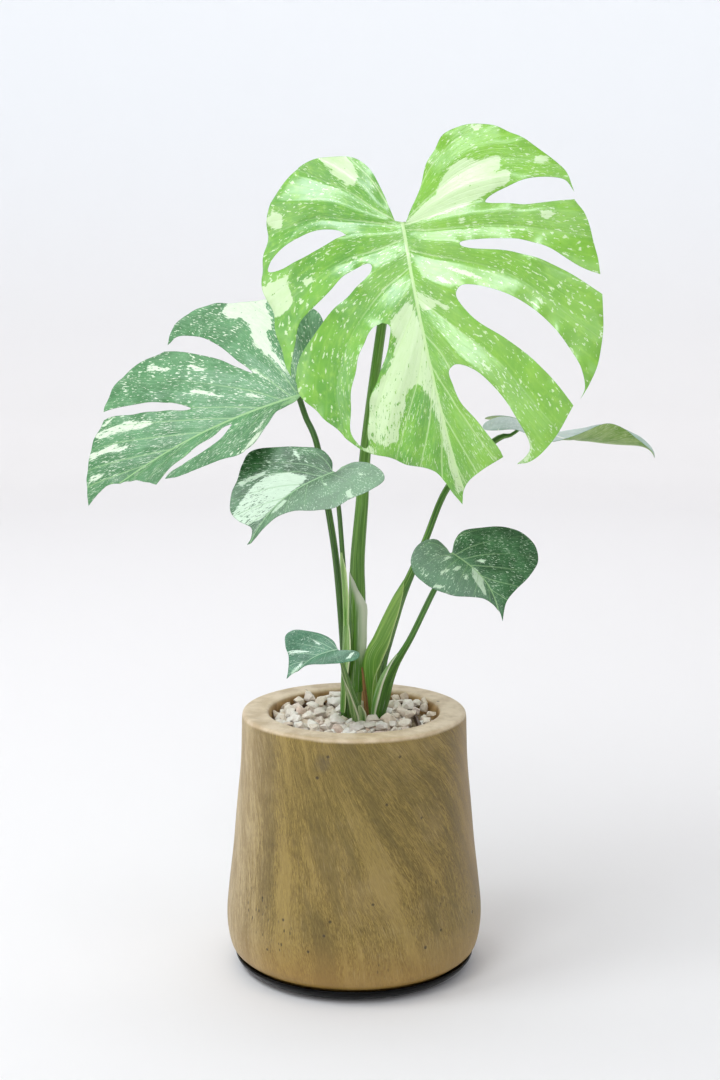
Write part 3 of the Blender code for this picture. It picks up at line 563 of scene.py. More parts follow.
def blade(key, mats):
    leaf = LEAVES[key]
    ab, faces, loops = blade_sheet(key)
    rel = off_rib(leaf, ab)
    rim = np.min([abs(edge_distance(ab, loop)) for loop in loops], axis=0)
    flows = [Flow(veins).find(ab) for veins in VEINS[key]]
    right = rel >= 0
    q, _, across = np.where(right, *flows)
    # the sheet dips along each lateral vein and swells between them, and its rim waves a little
    swell = np.clip(abs(rel) / 9, 0, 1) * np.clip(across / 26, 0.2, 1.45)
    between_veins = 2 * abs((q + 0.5) % 1.0 - 0.5)
    relief = [np.interp(q, np.arange(1, len(row) + 1), row) for row in leaf["relief"]]
    swell = swell * np.where(right, *relief)
    pleat = leaf["pleat"] * swell * (np.sqrt(between_veins ** 2 + 0.012) - 0.6)
    wave = leaf["pleat"] * 0.35 * np.exp(-rim / 5) * np.sin(ab[:, 0] * 0.21 + 3 * np.sin(ab[:, 1] * 0.07))
    normals = leaf_normals(leaf, ab, on_leaf)
    middle = on_leaf(leaf, ab) + normals * (pleat + wave)[:, None]
    # both faces close to a thin rounded rim
    thick = BLADE / 2 * np.clip(0.35 + rim / 1.2, 0.35, 1)
    rib_height = 0.9 * np.exp(-(rel / 1.6) ** 2) * np.clip(1.1 - ab[:, 0] / leaf["length"], 0, 1)
    upper = middle + normals * thick[:, None]
    lower = middle - normals * (thick + rib_height)[:, None]
    count = len(ab)
    tris = [tuple(f) for f in faces]
    under = [tuple(f[::-1] + count) for f in faces]
    seen = {(i, j) for f in tris for i, j in zip(f, f[1:] + f[:1])}
    rims = sorted((j, i, i + count, j + count) for i, j in seen if (j, i) not in seen)
    ob = add_mesh("blade_" + key, np.concatenate([upper, lower]) * MM, tris + under + rims, mats)
    slots = [0] * len(tris) + [1] * len(under) + [0] * len(rims)
    ob.data.polygons.foreach_set("material_index", slots)
    # the numbers that the material reads: vein coordinates by corner, because they break at the midrib
    cream = np.max([edge_distance(ab, patch) for patch in CREAM[key]], axis=0)
    corner = np.zeros(len(ob.data.loops), int)
    ob.data.loops.foreach_get("vertex_index", corner)
    corner %= count
    sizes = np.array([p.loop_total for p in ob.data.polygons])
    starts = np.array([p.loop_start for p in ob.data.polygons])
    face_side = np.add.reduceat(rel[corner], starts) >= 0
    on_right = np.repeat(face_side, sizes)
    q, run, wide = np.where(on_right, *(np.array(flow)[:, corner] for flow in flows))
    flow = np.stack([q, run, np.where(on_right, 0.0, 40.0)], 1)
    marks = np.stack([np.clip(cream[corner], -12, 12), rel[corner], np.clip(wide, 0.5, 60)], 1)
    place = np.stack([ab[corner, 0], ab[corner, 1], rim[corner]], 1)
    for name, rows in (("flow", flow), ("marks", marks), ("place", place)):
        vector_attribute(ob, name, "CORNER", rows)
    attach(ob, "root")
    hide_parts("leaf_" + key)
    return ob


BRIGHT = (srgb(82, 158, 8), srgb(112, 182, 20), srgb(158, 210, 64))
# BLUISH, SEA and GREY are paler and bluer than the leaves' own green, in part painted reflection of the pale
# room
BLUISH = (srgb(58, 118, 62), srgb(88, 148, 92), srgb(128, 178, 130))
DEEPER = (srgb(26, 76, 30), srgb(58, 114, 62), srgb(108, 156, 106))
SEA = (srgb(54, 104, 74), srgb(84, 136, 104), srgb(126, 172, 138))
GREY = (srgb(130, 166, 142), srgb(158, 190, 170), srgb(186, 210, 196))
# dark, middle and light green, cream, rib, share of fine cream dashes, seed, and gloss of the top
LOOKS = {
    "A": (BRIGHT, srgb(206, 230, 178), srgb(200, 230, 160), 0.9, 3.0, 0.85),
    "B": (BLUISH, srgb(226, 238, 212), srgb(160, 202, 138), 1.0, 17.0, 0.15),
    "C": (DEEPER, srgb(204, 226, 200), srgb(150, 190, 140), 0.9, 29.0, 0.15),
    "D": (DEEPER, srgb(208, 230, 200), srgb(150, 188, 130), 0.8, 43.0, 0.2),
    "E": (GREY, srgb(220, 228, 208), srgb(170, 190, 150), 0.6, 57.0, 0.5),
    "F": (SEA, srgb(220, 238, 220), srgb(170, 206, 170), 0.5, 71.0, 0.1),
}
# painted light: 1 lightens the half right of the midrib, -1 the left one; for A the half that faces the
# light, for C and D the half that shows sheen
PAINTED_LIGHT_HALVES = {"A": (1.0, srgb(146, 202, 46)), "C": (1.0, srgb(176, 206, 180)), "D": (-1.0, srgb(140, 178, 150))}
# the greens of the undersides
UNDER = (srgb(96, 138, 92), srgb(112, 154, 106), srgb(136, 174, 126))
UNDERS = {
    "A": (srgb(120, 170, 78), srgb(138, 186, 96), srgb(160, 200, 122)),
    "E": (srgb(110, 152, 56), srgb(158, 188, 108), srgb(202, 214, 162)),
}


def leaf_material(key, under):
    greens, cream, rib, spots, seed, gloss = LOOKS[key]
    if under:
        greens = UNDERS.get(key, UNDER)
    m = Material(("blade_under_" if under else "blade_top_") + key)
    q, s, side = m.attribute("flow")
    field, rel, wide = m.attribute("marks")
    a, b, rim = m.attribute("place")
    rel_abs = m.math("ABSOLUTE", rel)
    scale = LEAVES[key]["cell"] / 2.3
    length = LEAVES[key]["length"]
    mm = m.times(q, 20.0 * scale)

    def grained(shorter, shift, per_mm, detail, rough):
        """Noise in mm across the veins, and shortened along them."""
        return m.noise(m.join(mm, m.line(s, shorter, seed + shift), side), per_mm / scale, detail, rough)

    flat = m.join(a, b, seed)
    cloud = m.noise(flat, 0.035 / scale, 3.0, 0.55)
    mottle = grained(0.22, 0, 0.55, 4.0, 0.65)
    body = m.mix(m.step(cloud, 0.35, 0.68), greens[0], greens[1])
    body = m.mix(m.step(mottle, 0.45, 0.75, 0.0, 0.55), body, greens[2])
    # painted light and sheen: one half of the top is lightened
    if key in PAINTED_LIGHT_HALVES and not under:
        toward, shade = PAINTED_LIGHT_HALVES[key]
        body = m.mix(m.step(m.times(rel, toward), -12.0, 26.0, 0.0, 0.4), body, shade)
    # veins: the nearest primary one, and the fine ones between
    turn = m.math("FRACT", m.plus(q, 0.5))
    gap = m.times(m.math("ABSOLUTE", m.minus(turn, 0.5)), wide)
    vein = m.step(gap, 0.15 * scale, 0.9 * scale, 1.0, 0.0)
    fine = m.math("FRACT", m.times(q, 7.0))
    fine = m.step(m.math("ABSOLUTE", m.minus(fine, 0.5)), 0.0, 0.16, 1.0, 0.0)
    body = m.mix(m.times(fine, 0.18), body, greens[2])
    # cream: the large patches with ragged ends along the veins, then fine dashes
    shift = m.line(grained(0.16, 5, 0.5, 4.0, 0.7), 9.0 * scale, -4.5 * scale)
    patch = m.step(m.plus(field, shift), -0.35 * scale, 0.45 * scale)
    crowd = m.noise(flat, 0.06 / scale, 2.0, 0.5)
    level = m.line(crowd, -0.24, 0.83 - 0.1 * spots)
    dashes = m.step(m.minus(grained(0.17, 11, 1.15, 3.0, 0.55), level), -0.012, 0.02)
    near = m.times(m.step(field, -6.0 * scale, 0.0), 0.10)
    specks = m.step(m.plus(grained(0.22, 0, 1.1, 3.0, 0.6), near), 0.68, 0.72)
    pale = m.larger(m.larger(patch, dashes), m.times(specks, 0.85))
    shade = tuple(0.82 * c + 0.18 * g for c, g in zip(cream, greens[2]))
    shaded = m.mix(m.step(mottle, 0.3, 0.7), cream, shade)
    # green flecks in the patches, thicker in the outer half
    outer = m.step(a, 0.40 * length, 0.68 * length, 0.0, 0.085)
    flecks = m.step(m.plus(grained(0.3, 23, 0.6, 4.0, 0.7), outer), 0.645, 0.68)
    pale = m.times(pale, m.minus(1.0, flecks))
    if under:
        pale = m.times(pale, 0.7)
    narrow = m.larger(m.line(a, -0.9 / length, 1.75), 0.6)
    middle = m.step(m.math("DIVIDE", rel_abs, m.times(narrow, 0.8 * scale)), 0.75, 1.35, 1.0, 0.0)
    colour = m.layers(
        body,
        (pale, shaded),
        (m.times(vein, m.step(rel_abs, 14.0 * scale, 60.0 * scale, 0.6, 0.12)), rib),
        (m.times(middle, 0.9), rib),
        (m.times(m.step(rim, 0.1, 0.9 * scale, 1.0, 0.0), 0.35), greens[0]))
    rough = grained(0.22, 0, 0.8, 3.0, 0.6)
    low = m.line(fine, -0.25, m.times(rough, 0.5))
    low = m.plus(m.plus(low, m.times(middle, -0.6)), m.times(vein, -0.5))
    m.finish(Base_Color=colour, Normal=m.bump(low, 0.0006 * scale, 0.55))
    if under:
        return m.finish(Roughness=m.step(rough, 0.2, 0.8, 0.42, 0.62), Specular_IOR_Level=0.35)
    # the right basal lobe is duller
    dull = m.larger(m.step(a, -14.0, 8.0, 0.2, 1.0), m.step(rel, -10.0, 2.0, 1.0, 0.0))
    return m.finish(Roughness=m.step(rough, 0.2, 0.8, 0.26, 0.44), Specular_IOR_Level=0.45 + 0.4 * gloss,
                    Coat_Weight=m.times(dull, gloss), Coat_Roughness=0.24, Coat_IOR=1.65)


for key in LEAVES:
    made = blade(key, [leaf_material(key, False), leaf_material(key, True)])


def stalk_end(key, back):
    leaf = LEAVES[key]
    up = leaf_frame(leaf)[2]
    at = on_leaf(leaf, np.array([[SEAT_A, leaf["bow"] * math.sin(math.pi * SEAT_A / leaf["length"])]]))[0]
    return tuple(at - up * 9 + np.array(back)), tuple(at - up * 3.5), tuple(at - up * (BLADE / 2 + 0.1))


# Stalks: rows of (x, y, z, half width, half depth) in mm. The width lies across the facing direction.
# After its rows each has the bend at its end, its end's radius, and its facing direction
STALKS = {
    "A": ([(0, 11, ROOT_Z, 5.2, 5.0), (0, 11, 192, 5.2, 5.0), (0.8, 11, 222, 5.8, 5.0),
           (2.4, 11, 252, 6.4, 4.8), (2.8, 11, 288, 6.2, 4.7), (2.8, 11, 318, 5.6, 4.6),
           (6.2, 12, 362, 4.9, 4.5), (9.6, 14, 409, 4.2, 4.2), (21, 10, 497, 3.7, 3.7),
           (28.4, 6, 540, 3.5, 3.5)], (-2.5, 1, -9), 3.2, (0, 1)),
    "B": ([(-5, 20.5, ROOT_Z, 3.2, 3.2), (-5, 20.5, 192, 3.2, 3.2), (-6.5, 20, 215, 3.0, 3.0),
           (-9.5, 19, 264, 2.8, 2.8), (-14, 18, 316, 2.7, 2.7), (-20, 20, 356, 2.6, 2.6),
           (-28.5, 25, 405, 2.4, 2.4)], (3, -1, -10), 2.3, (-1, 1)),
    "C": ([(-8, 8, ROOT_Z, 2.8, 2.4), (-8, 8, 192, 2.8, 2.4), (-7.3, 7, 222, 2.8, 2.4),
           (-6.0, 4, 262, 2.4, 2.0), (-6.6, 1, 294, 2.0, 2.0), (-8.4, -4, 320, 1.9, 1.9),
           (-11.0, -14, 358, 1.8, 1.8)], (1, 3, -8), 1.7, (-1, -0.3)),
    "D": ([(18.4, 2.5, ROOT_Z, 5.2, 2.6), (18.4, 2.5, 192, 5.2, 2.6), (21.0, -1, 209, 6.6, 2.6),
           (25.0, -6, 226, 5.8, 2.5), (31.0, -11, 240, 3.9, 2.4), (36.5, -15, 250, 2.8, 2.4),
           (44, -21, 265, 2.4, 2.3), (58, -32, 298, 2.2, 2.2)], (-4, 3, -6), 1.9, (0.35, -1)),
    "E": ([(16, 13, ROOT_Z, 6.0, 2.8), (16, 13, 192, 6.0, 2.8), (16, 12, 214, 8.2, 2.8),
           (17.5, 10, 238, 9.4, 2.8), (23.0, 8.5, 255, 8.0, 2.7), (28.5, 7.5, 271, 6.8, 2.7),
           (34.5, 6.5, 287, 5.2, 2.7), (42, 7, 303, 3.3, 2.7), (54.8, 10, 333, 2.6, 2.6),
           (70.5, 19, 370, 2.5, 2.5), (92, 28, 394, 2.5, 2.5), (112, 34.5, 409, 2.4, 2.4)],
          (-7, -2, -2), 1.4, (0.5, -1)),
    "F": ([(3, -3, ROOT_Z, 4.2, 2.4), (3, -3, 192, 4.2, 2.4), (1.2, -7, 204, 4.4, 2.3),
           (-3.8, -17.5, 224, 2.8, 1.9), (-8, -31, 243, 1.8, 1.5)], (2, 6, -3), 1.3, (-0.35, -1)),
}


def tube(name, rings, facing, sides, mat, node):
    """A stalk along its rows. Its material reads the turn round it, and the run along it in mm."""
    rows = smooth_path(rings, 4)
    away = Vector((*facing, 0)).normalized()
    verts = []
    around = []
    gone = 0.0
    for i, row in enumerate(rows):
        here = Vector(row[:3])
        before = Vector(rows[max(0, i - 1)][:3])
        after = Vector(rows[min(len(rows) - 1, i + 1)][:3])
        run = (after - before).normalized()
        wide = run.cross(away).normalized()
        deep = wide.cross(run).normalized()
        gone += (here - before).length
        for k in range(sides):
            t = 2 * math.pi * k / sides
            # fine ribs that run up the stalk
            ridge = 1 + 0.018 * math.sin(5 * t + 0.7) + 0.008 * math.sin(11 * t)
            p = here + wide * row[3] * ridge * math.cos(t) + deep * row[4] * ridge * math.sin(t)
            verts.append(p * MM)
            around.append((math.cos(t), math.sin(t), gone))
    faces = ring_quads(len(rows), sides)
    faces.append(tuple(range(sides))[::-1])
    faces.append(tuple(range((len(rows) - 1) * sides, len(rows) * sides)))
    ob = add_mesh(name, verts, faces, [mat])
    vector_attribute(ob, "around", "POINT", around)
    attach(ob, "root")
    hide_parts(node)
    return ob


def stalk_material(name, dark, light, sheath, split, sheath_end, seed):
    """Green with paler streaks. Up to sheath_end mm the side beyond split turns to the paler sheath."""
    m = Material(name)
    x, y, up = m.attribute("around")
    streaks = m.join(m.times(x, 5.0), m.times(y, 5.0), m.line(up, 0.018, seed))
    fine = m.noise(streaks, 1.6, 4.0, 0.62)
    broad = m.noise(streaks, 0.5, 2.0, 0.5)
    edge = m.plus(x, m.times(m.minus(fine, 0.5), 0.5))
    body = m.step(edge, split - 0.5, split + 0.45, 1.0, 0.0)
    below = m.step(up, sheath_end - 14, sheath_end, 1.0, 0.0)
    lines = m.step(m.noise(streaks, 3.1, 2.0, 0.5), 0.62, 0.70)
    specks = m.step(m.noise(m.position(), 900.0, 2.0, 0.5), 0.68, 0.74)
    colour = m.layers(
        dark,
        (m.step(fine, 0.36, 0.68), light),
        (m.step(broad, 0.45, 0.75, 0.0, 0.5), sheath),
        (m.times(body, below), sheath),
        (m.times(lines, m.line(below, 0.35, 0.12)), tuple(0.45 * c + 0.55 for c in sheath)),
        (m.times(specks, 0.25), sheath))
    return m.finish(Base_Color=colour, Roughness=m.step(fine, 0.2, 0.8, 0.34, 0.55),
                    Normal=m.bump(fine, 0.0004, 0.5))


STALK_LOOKS = {
    "A": (srgb(72, 118, 30), srgb(108, 156, 58), srgb(150, 190, 100), -0.6, 60, 2.0),
    "B": (srgb(42, 80, 20), srgb(78, 124, 44), srgb(122, 166, 78), -0.9, 60, 5.0),
    "C": (srgb(42, 80, 20), srgb(80, 128, 42), srgb(126, 172, 76), -0.8, 60, 8.0),
    "D": (srgb(42, 84, 20), srgb(76, 130, 42), srgb(116, 170, 72), -0.45, 82, 11.0),
    "E": (srgb(46, 86, 22), srgb(80, 136, 42), srgb(146, 194, 78), 0.05, 136, 14.0),
    "F": (srgb(60, 104, 44), srgb(110, 158, 80), srgb(190, 214, 150), 0.2, 44, 17.0),
}
STALK_PATHS = {}
for key, (rings, back, end_r, facing) in STALKS.items():
    rings = rings + [(*point, end_r, end_r) for point in stalk_end(key, back)]
    STALK_PATHS[key] = (rings, facing)
    mat = stalk_material("stalk_skin_" + key, *STALK_LOOKS[key])
    made = tube("petiole_" + key, rings, facing, 28, mat, "stalk_" + key)


# Sheath wings: rows of (height, turn where the wing leaves the stalk, turn at its free edge, stand-off at
# both, and how far the edge flares out), in mm and degrees. A turn of 0 is right, 90 front, 180 left.
WINGS = {
    "sheath_A": ("A", [(214, 200, -20, 0.2, 0.7, 0), (246, 200, -15, 0.2, 0.9, 0),
        (265, 200, -8, 0.3, 1.0, 0), (280, 200, 4, 0.3, 1.0, 0), (286, 195, 40, 0.3, 0.9, 0),
        (294, 190, 82, 0.3, 0.8, 0), (302, 185, 113, 0.2, 0.6, 0), (308, 178, 160, 0.1, 0.3, 0)]),
    "sheath_C_high": ("C", [(262, 110, 10, 0.2, 0.5, 1.2), (278, 110, 10, 0.2, 0.5, 3.4),
        (296, 110, 10, 0.2, 0.5, 4.2), (309, 110, 10, 0.2, 0.5, 3.8), (317, 100, 10, 0.2, 0.4, 2.4),
        (327, 60, 20, 0.1, 0.2, 0)]),
    "sheath_C_low": ("C", [(198, 110, 10, 0.2, 0.6, 0.6), (223, 115, 10, 0.2, 0.6, 2.8),
        (238, 115, 10, 0.3, 0.8, 5.0), (250, 115, 10, 0.3, 0.8, 6.2), (261, 110, 10, 0.3, 0.7, 5.4),
        (268, 100, 10, 0.2, 0.5, 3.4), (274, 60, 20, 0.1, 0.2, 0.2)]),
    "sheath_D": ("D", [(193, 215, 128, 0.2, 0.6, 0), (203, 215, 120, 0.2, 0.9, 0),
        (219, 215, 116, 0.2, 0.9, 0), (232, 215, 124, 0.2, 0.8, 0), (240, 210, 142, 0.2, 0.6, 0),
        (248, 195, 168, 0.1, 0.2, 0)]),
    "sheath_E": ("E", [(193, 215, 122, 0.2, 0.6, 0), (222, 215, 107, 0.8, 0.9, 0),
        (243, 215, 70, 2.0, 1.0, 0), (261, 215, 69, 1.0, 1.0, 0), (280, 215, 76, 0.4, 0.9, 0),
        (291, 210, 96, 0.2, 0.8, 0), (297, 200, 128, 0.2, 0.5, 0), (301, 190, 165, 0.1, 0.2, 0)]),
    "sheath_F": ("F", [(193, 215, 62, 0.2, 0.7, 0), (204, 215, 66, 0.2, 0.8, 0),
        (216, 212, 74, 0.2, 0.7, 0), (228, 205, 96, 0.2, 0.5, 0), (238, 195, 150, 0.1, 0.2, 0)]),
    "sheath_F_low": ("F", [(193, 60, 0, 0.4, 1.0, 1.6), (200, 60, 0, 0.4, 1.0, 2.0),
        (206, 50, 5, 0.3, 0.6, 1.2), (208, 40, 10, 0.2, 0.4, 0.6)]),
}


def wing(name, key, rows, mat):
    """A thin wing that wraps part of a stalk. Its material reads across, height share, and width in mm."""
    rings, facing = STALK_PATHS[key]
    path = np.array(smooth_path(rings, 2))
    keep = np.concatenate([[True], np.diff(np.maximum.accumulate(path[:, 2])) > 1e-6])
    path = path[keep]
    away = np.array([*facing, 0.0])
    # turns count for less than heights where the rows are spaced
    less = 8
    scaled = [(z, a / less, b / less, c, d, e) for z, a, b, c, d, e in rows]
    sheet = []
    for z, first, last, low, top, flare in smooth_path(scaled, 1.2):
        centre = np.array([np.interp(z, path[:, 2], path[:, k]) for k in range(5)])
        ahead = np.array([np.interp(z + 2, path[:, 2], path[:, k]) for k in range(3)])
        run = ahead - centre[:3]
        run /= np.linalg.norm(run)
        right = np.cross(run, away)
        right *= np.sign(right[0]) / np.linalg.norm(right)
        front = np.cross(right, run)
        front *= -np.sign(front[1])
        strip = []
        for u in np.linspace(0, 1, 13):
            t = math.radians(less * (first + (last - first) * u))
            wide, deep = centre[3:] + (low + (top - low) * u ** 1.5)
            strip.append(centre[:3] + right * wide * math.cos(t) + front * deep * math.sin(t))
        edge = strip[-1]
        if flare > 0:
            strip += [edge + (right + front * (0.25 - 0.5 * k / 5)) * flare * k / 5 for k in range(1, 6)]
        else:
            strip += [edge + (edge - strip[-2]) * 0.02 * k for k in range(1, 6)]
        sheet.append(strip)
    sheet = np.array(sheet)
    n, w = sheet.shape[:2]
    normal = np.cross(np.gradient(sheet, axis=0), np.gradient(sheet, axis=1))
    normal /= np.maximum(1e-9, np.linalg.norm(normal, axis=2))[..., None]
    # a little crumple along the free edge, where the wing is thinnest
    u = np.linspace(0, 1, w)[None, :, None]
    body = sheet + normal * (np.sin(np.arange(n) * 0.33)[:, None, None] * u ** 4 * 0.25)
    half = 0.28 * (1 - 0.65 * u)
    layers = np.concatenate([(body - normal * half).reshape(-1, 3), (body + normal * half).reshape(-1, 3)])
    faces = []
    size = n * w
    for i in range(n - 1):
        for j in range(w - 1):
            k = i * w + j
            faces.append((k, k + 1, k + w + 1, k + w))
            faces.append((size + k, size + k + w, size + k + w + 1, size + k + 1))
    ring = list(range(w)) + [i * w + w - 1 for i in range(1, n)]
    ring += [(n - 1) * w + j for j in range(w - 2, -1, -1)] + [i * w for i in range(n - 2, 0, -1)]
    faces += [(q, p, size + p, size + q) for p, q in sides_of(ring)]
    ob = add_mesh(name, layers * MM, faces, [mat])
    steps = np.linalg.norm(np.diff(sheet, axis=1), axis=2)
    reach = np.concatenate([np.zeros((n, 1)), np.cumsum(steps, 1)], 1)
    share = np.repeat(np.linspace(0, 1, n)[:, None], w, 1)
    marks = np.stack([reach / np.maximum(1e-6, reach[:, -1:]), share, reach], 2)
    vector_attribute(ob, "around", "POINT", np.concatenate([marks.reshape(-1, 3)] * 2))
    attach(ob, "root")
    return ob


def wing_material(name, dark, light, edge, seed, wide, pale_top, foot=0.0):
    """wide is the pale strip's share of the width, pale_top how pale the top is, foot where it starts."""
    m = Material(name)
    u, share, reach = m.attribute("around")
    z = m.split(m.position())[2]
    lines = m.join(reach, m.line(z, 18.0, seed))
    fine = m.noise(lines, 1.5, 4.0, 0.65)
    broad = m.noise(lines, 0.5, 2.0, 0.5)
    strip = m.step(m.line(fine, 0.12, u), 1.02 - wide, 1.06 - wide * 0.4)
    colour = m.layers(
        dark,
        (m.step(broad, 0.38, 0.62), light),
        (m.step(fine, 0.52, 0.66, 0.0, 0.55), edge),
        (m.times(strip, m.step(share, foot - 0.1, foot + 0.1)), edge),
        (m.step(m.plus(share, m.times(fine, 0.3)), 0.35, 0.85, 0.0, pale_top), edge))
    return m.finish(Base_Color=colour, Roughness=m.step(fine, 0.2, 0.8, 0.36, 0.55),
                    Normal=m.bump(fine, 0.0004, 0.6))


FRESH = (srgb(84, 136, 54), srgb(150, 184, 108), srgb(224, 230, 196))
WING_LOOKS = {
    "sheath_A": (srgb(78, 130, 32), srgb(112, 164, 56), srgb(212, 218, 194), 3.0, 0.55, 0.0, 0.28),
    "sheath_C_high": (srgb(96, 148, 52), srgb(140, 184, 88), srgb(200, 218, 160), 7.0, 0.14, 0.2),
    "sheath_C_low": (srgb(84, 138, 48), srgb(126, 172, 78), srgb(206, 222, 168), 11.0, 0.14, 0.1),
    "sheath_D": (srgb(90, 146, 58), srgb(150, 186, 110), srgb(222, 228, 200), 15.0, 0.26, 0.1),
    "sheath_E": (srgb(92, 150, 44), srgb(138, 186, 72), srgb(196, 222, 140), 19.0, 0.07, 0.15),
    "sheath_F": (*FRESH, 23.0, 0.16, 0.2),
    "sheath_F_low": (*FRESH, 27.0, 0.2, 0.2),
}
for name, (key, rows) in WINGS.items():
    made = wing(name, key, rows, wing_material(name + "_skin", *WING_LOOKS[name]))


# Pot and saucer
def turned(name, profile, segments, mat, wobble=None):
    """A closed profile of (radius, z) in mm, turned about Z. Radius 0 makes a pole."""
    rings = []
    verts = []
    faces = []
    for radius, z in profile:
        first = len(verts)
        for i in range(1 if radius == 0 else segments):
            t = 2 * math.pi * i / segments
            verts.append(turned_point(radius + (wobble(t, z) if wobble else 0.0), t, z))
        rings.append(range(first, len(verts)))
    for low, high in sides_of(rings):
        if len(low) == 1 and len(high) == 1:
            continue
        for i in range(segments):
            j = (i + 1) % segments
            if len(low) == 1:
                faces.append((low[0], high[j], high[i]))
            elif len(high) == 1:
                faces.append((low[i], low[j], high[0]))
            else:
                faces.append((low[i], low[j], high[j], high[i]))
    return add_mesh(name, verts, faces, [mat])


# where single pits lie, in metres
PITS = [(-0.0188, -0.0853, 0.1887), (0.0244, -0.0858, 0.1524), (0.0142, -0.0954, 0.0789),
        (-0.022, -0.0964, 0.0552), (-0.0175, -0.0962, 0.066), (0.0933, -0.031, 0.0617),
        (0.0506, -0.075, 0.1389), (-0.069, -0.0682, 0.0741), (-0.0527, -0.0829, 0.0624),
        (-0.0339, -0.094, 0.0418), (0.0653, -0.0747, 0.0513), (0.034, -0.0805, 0.1873)]


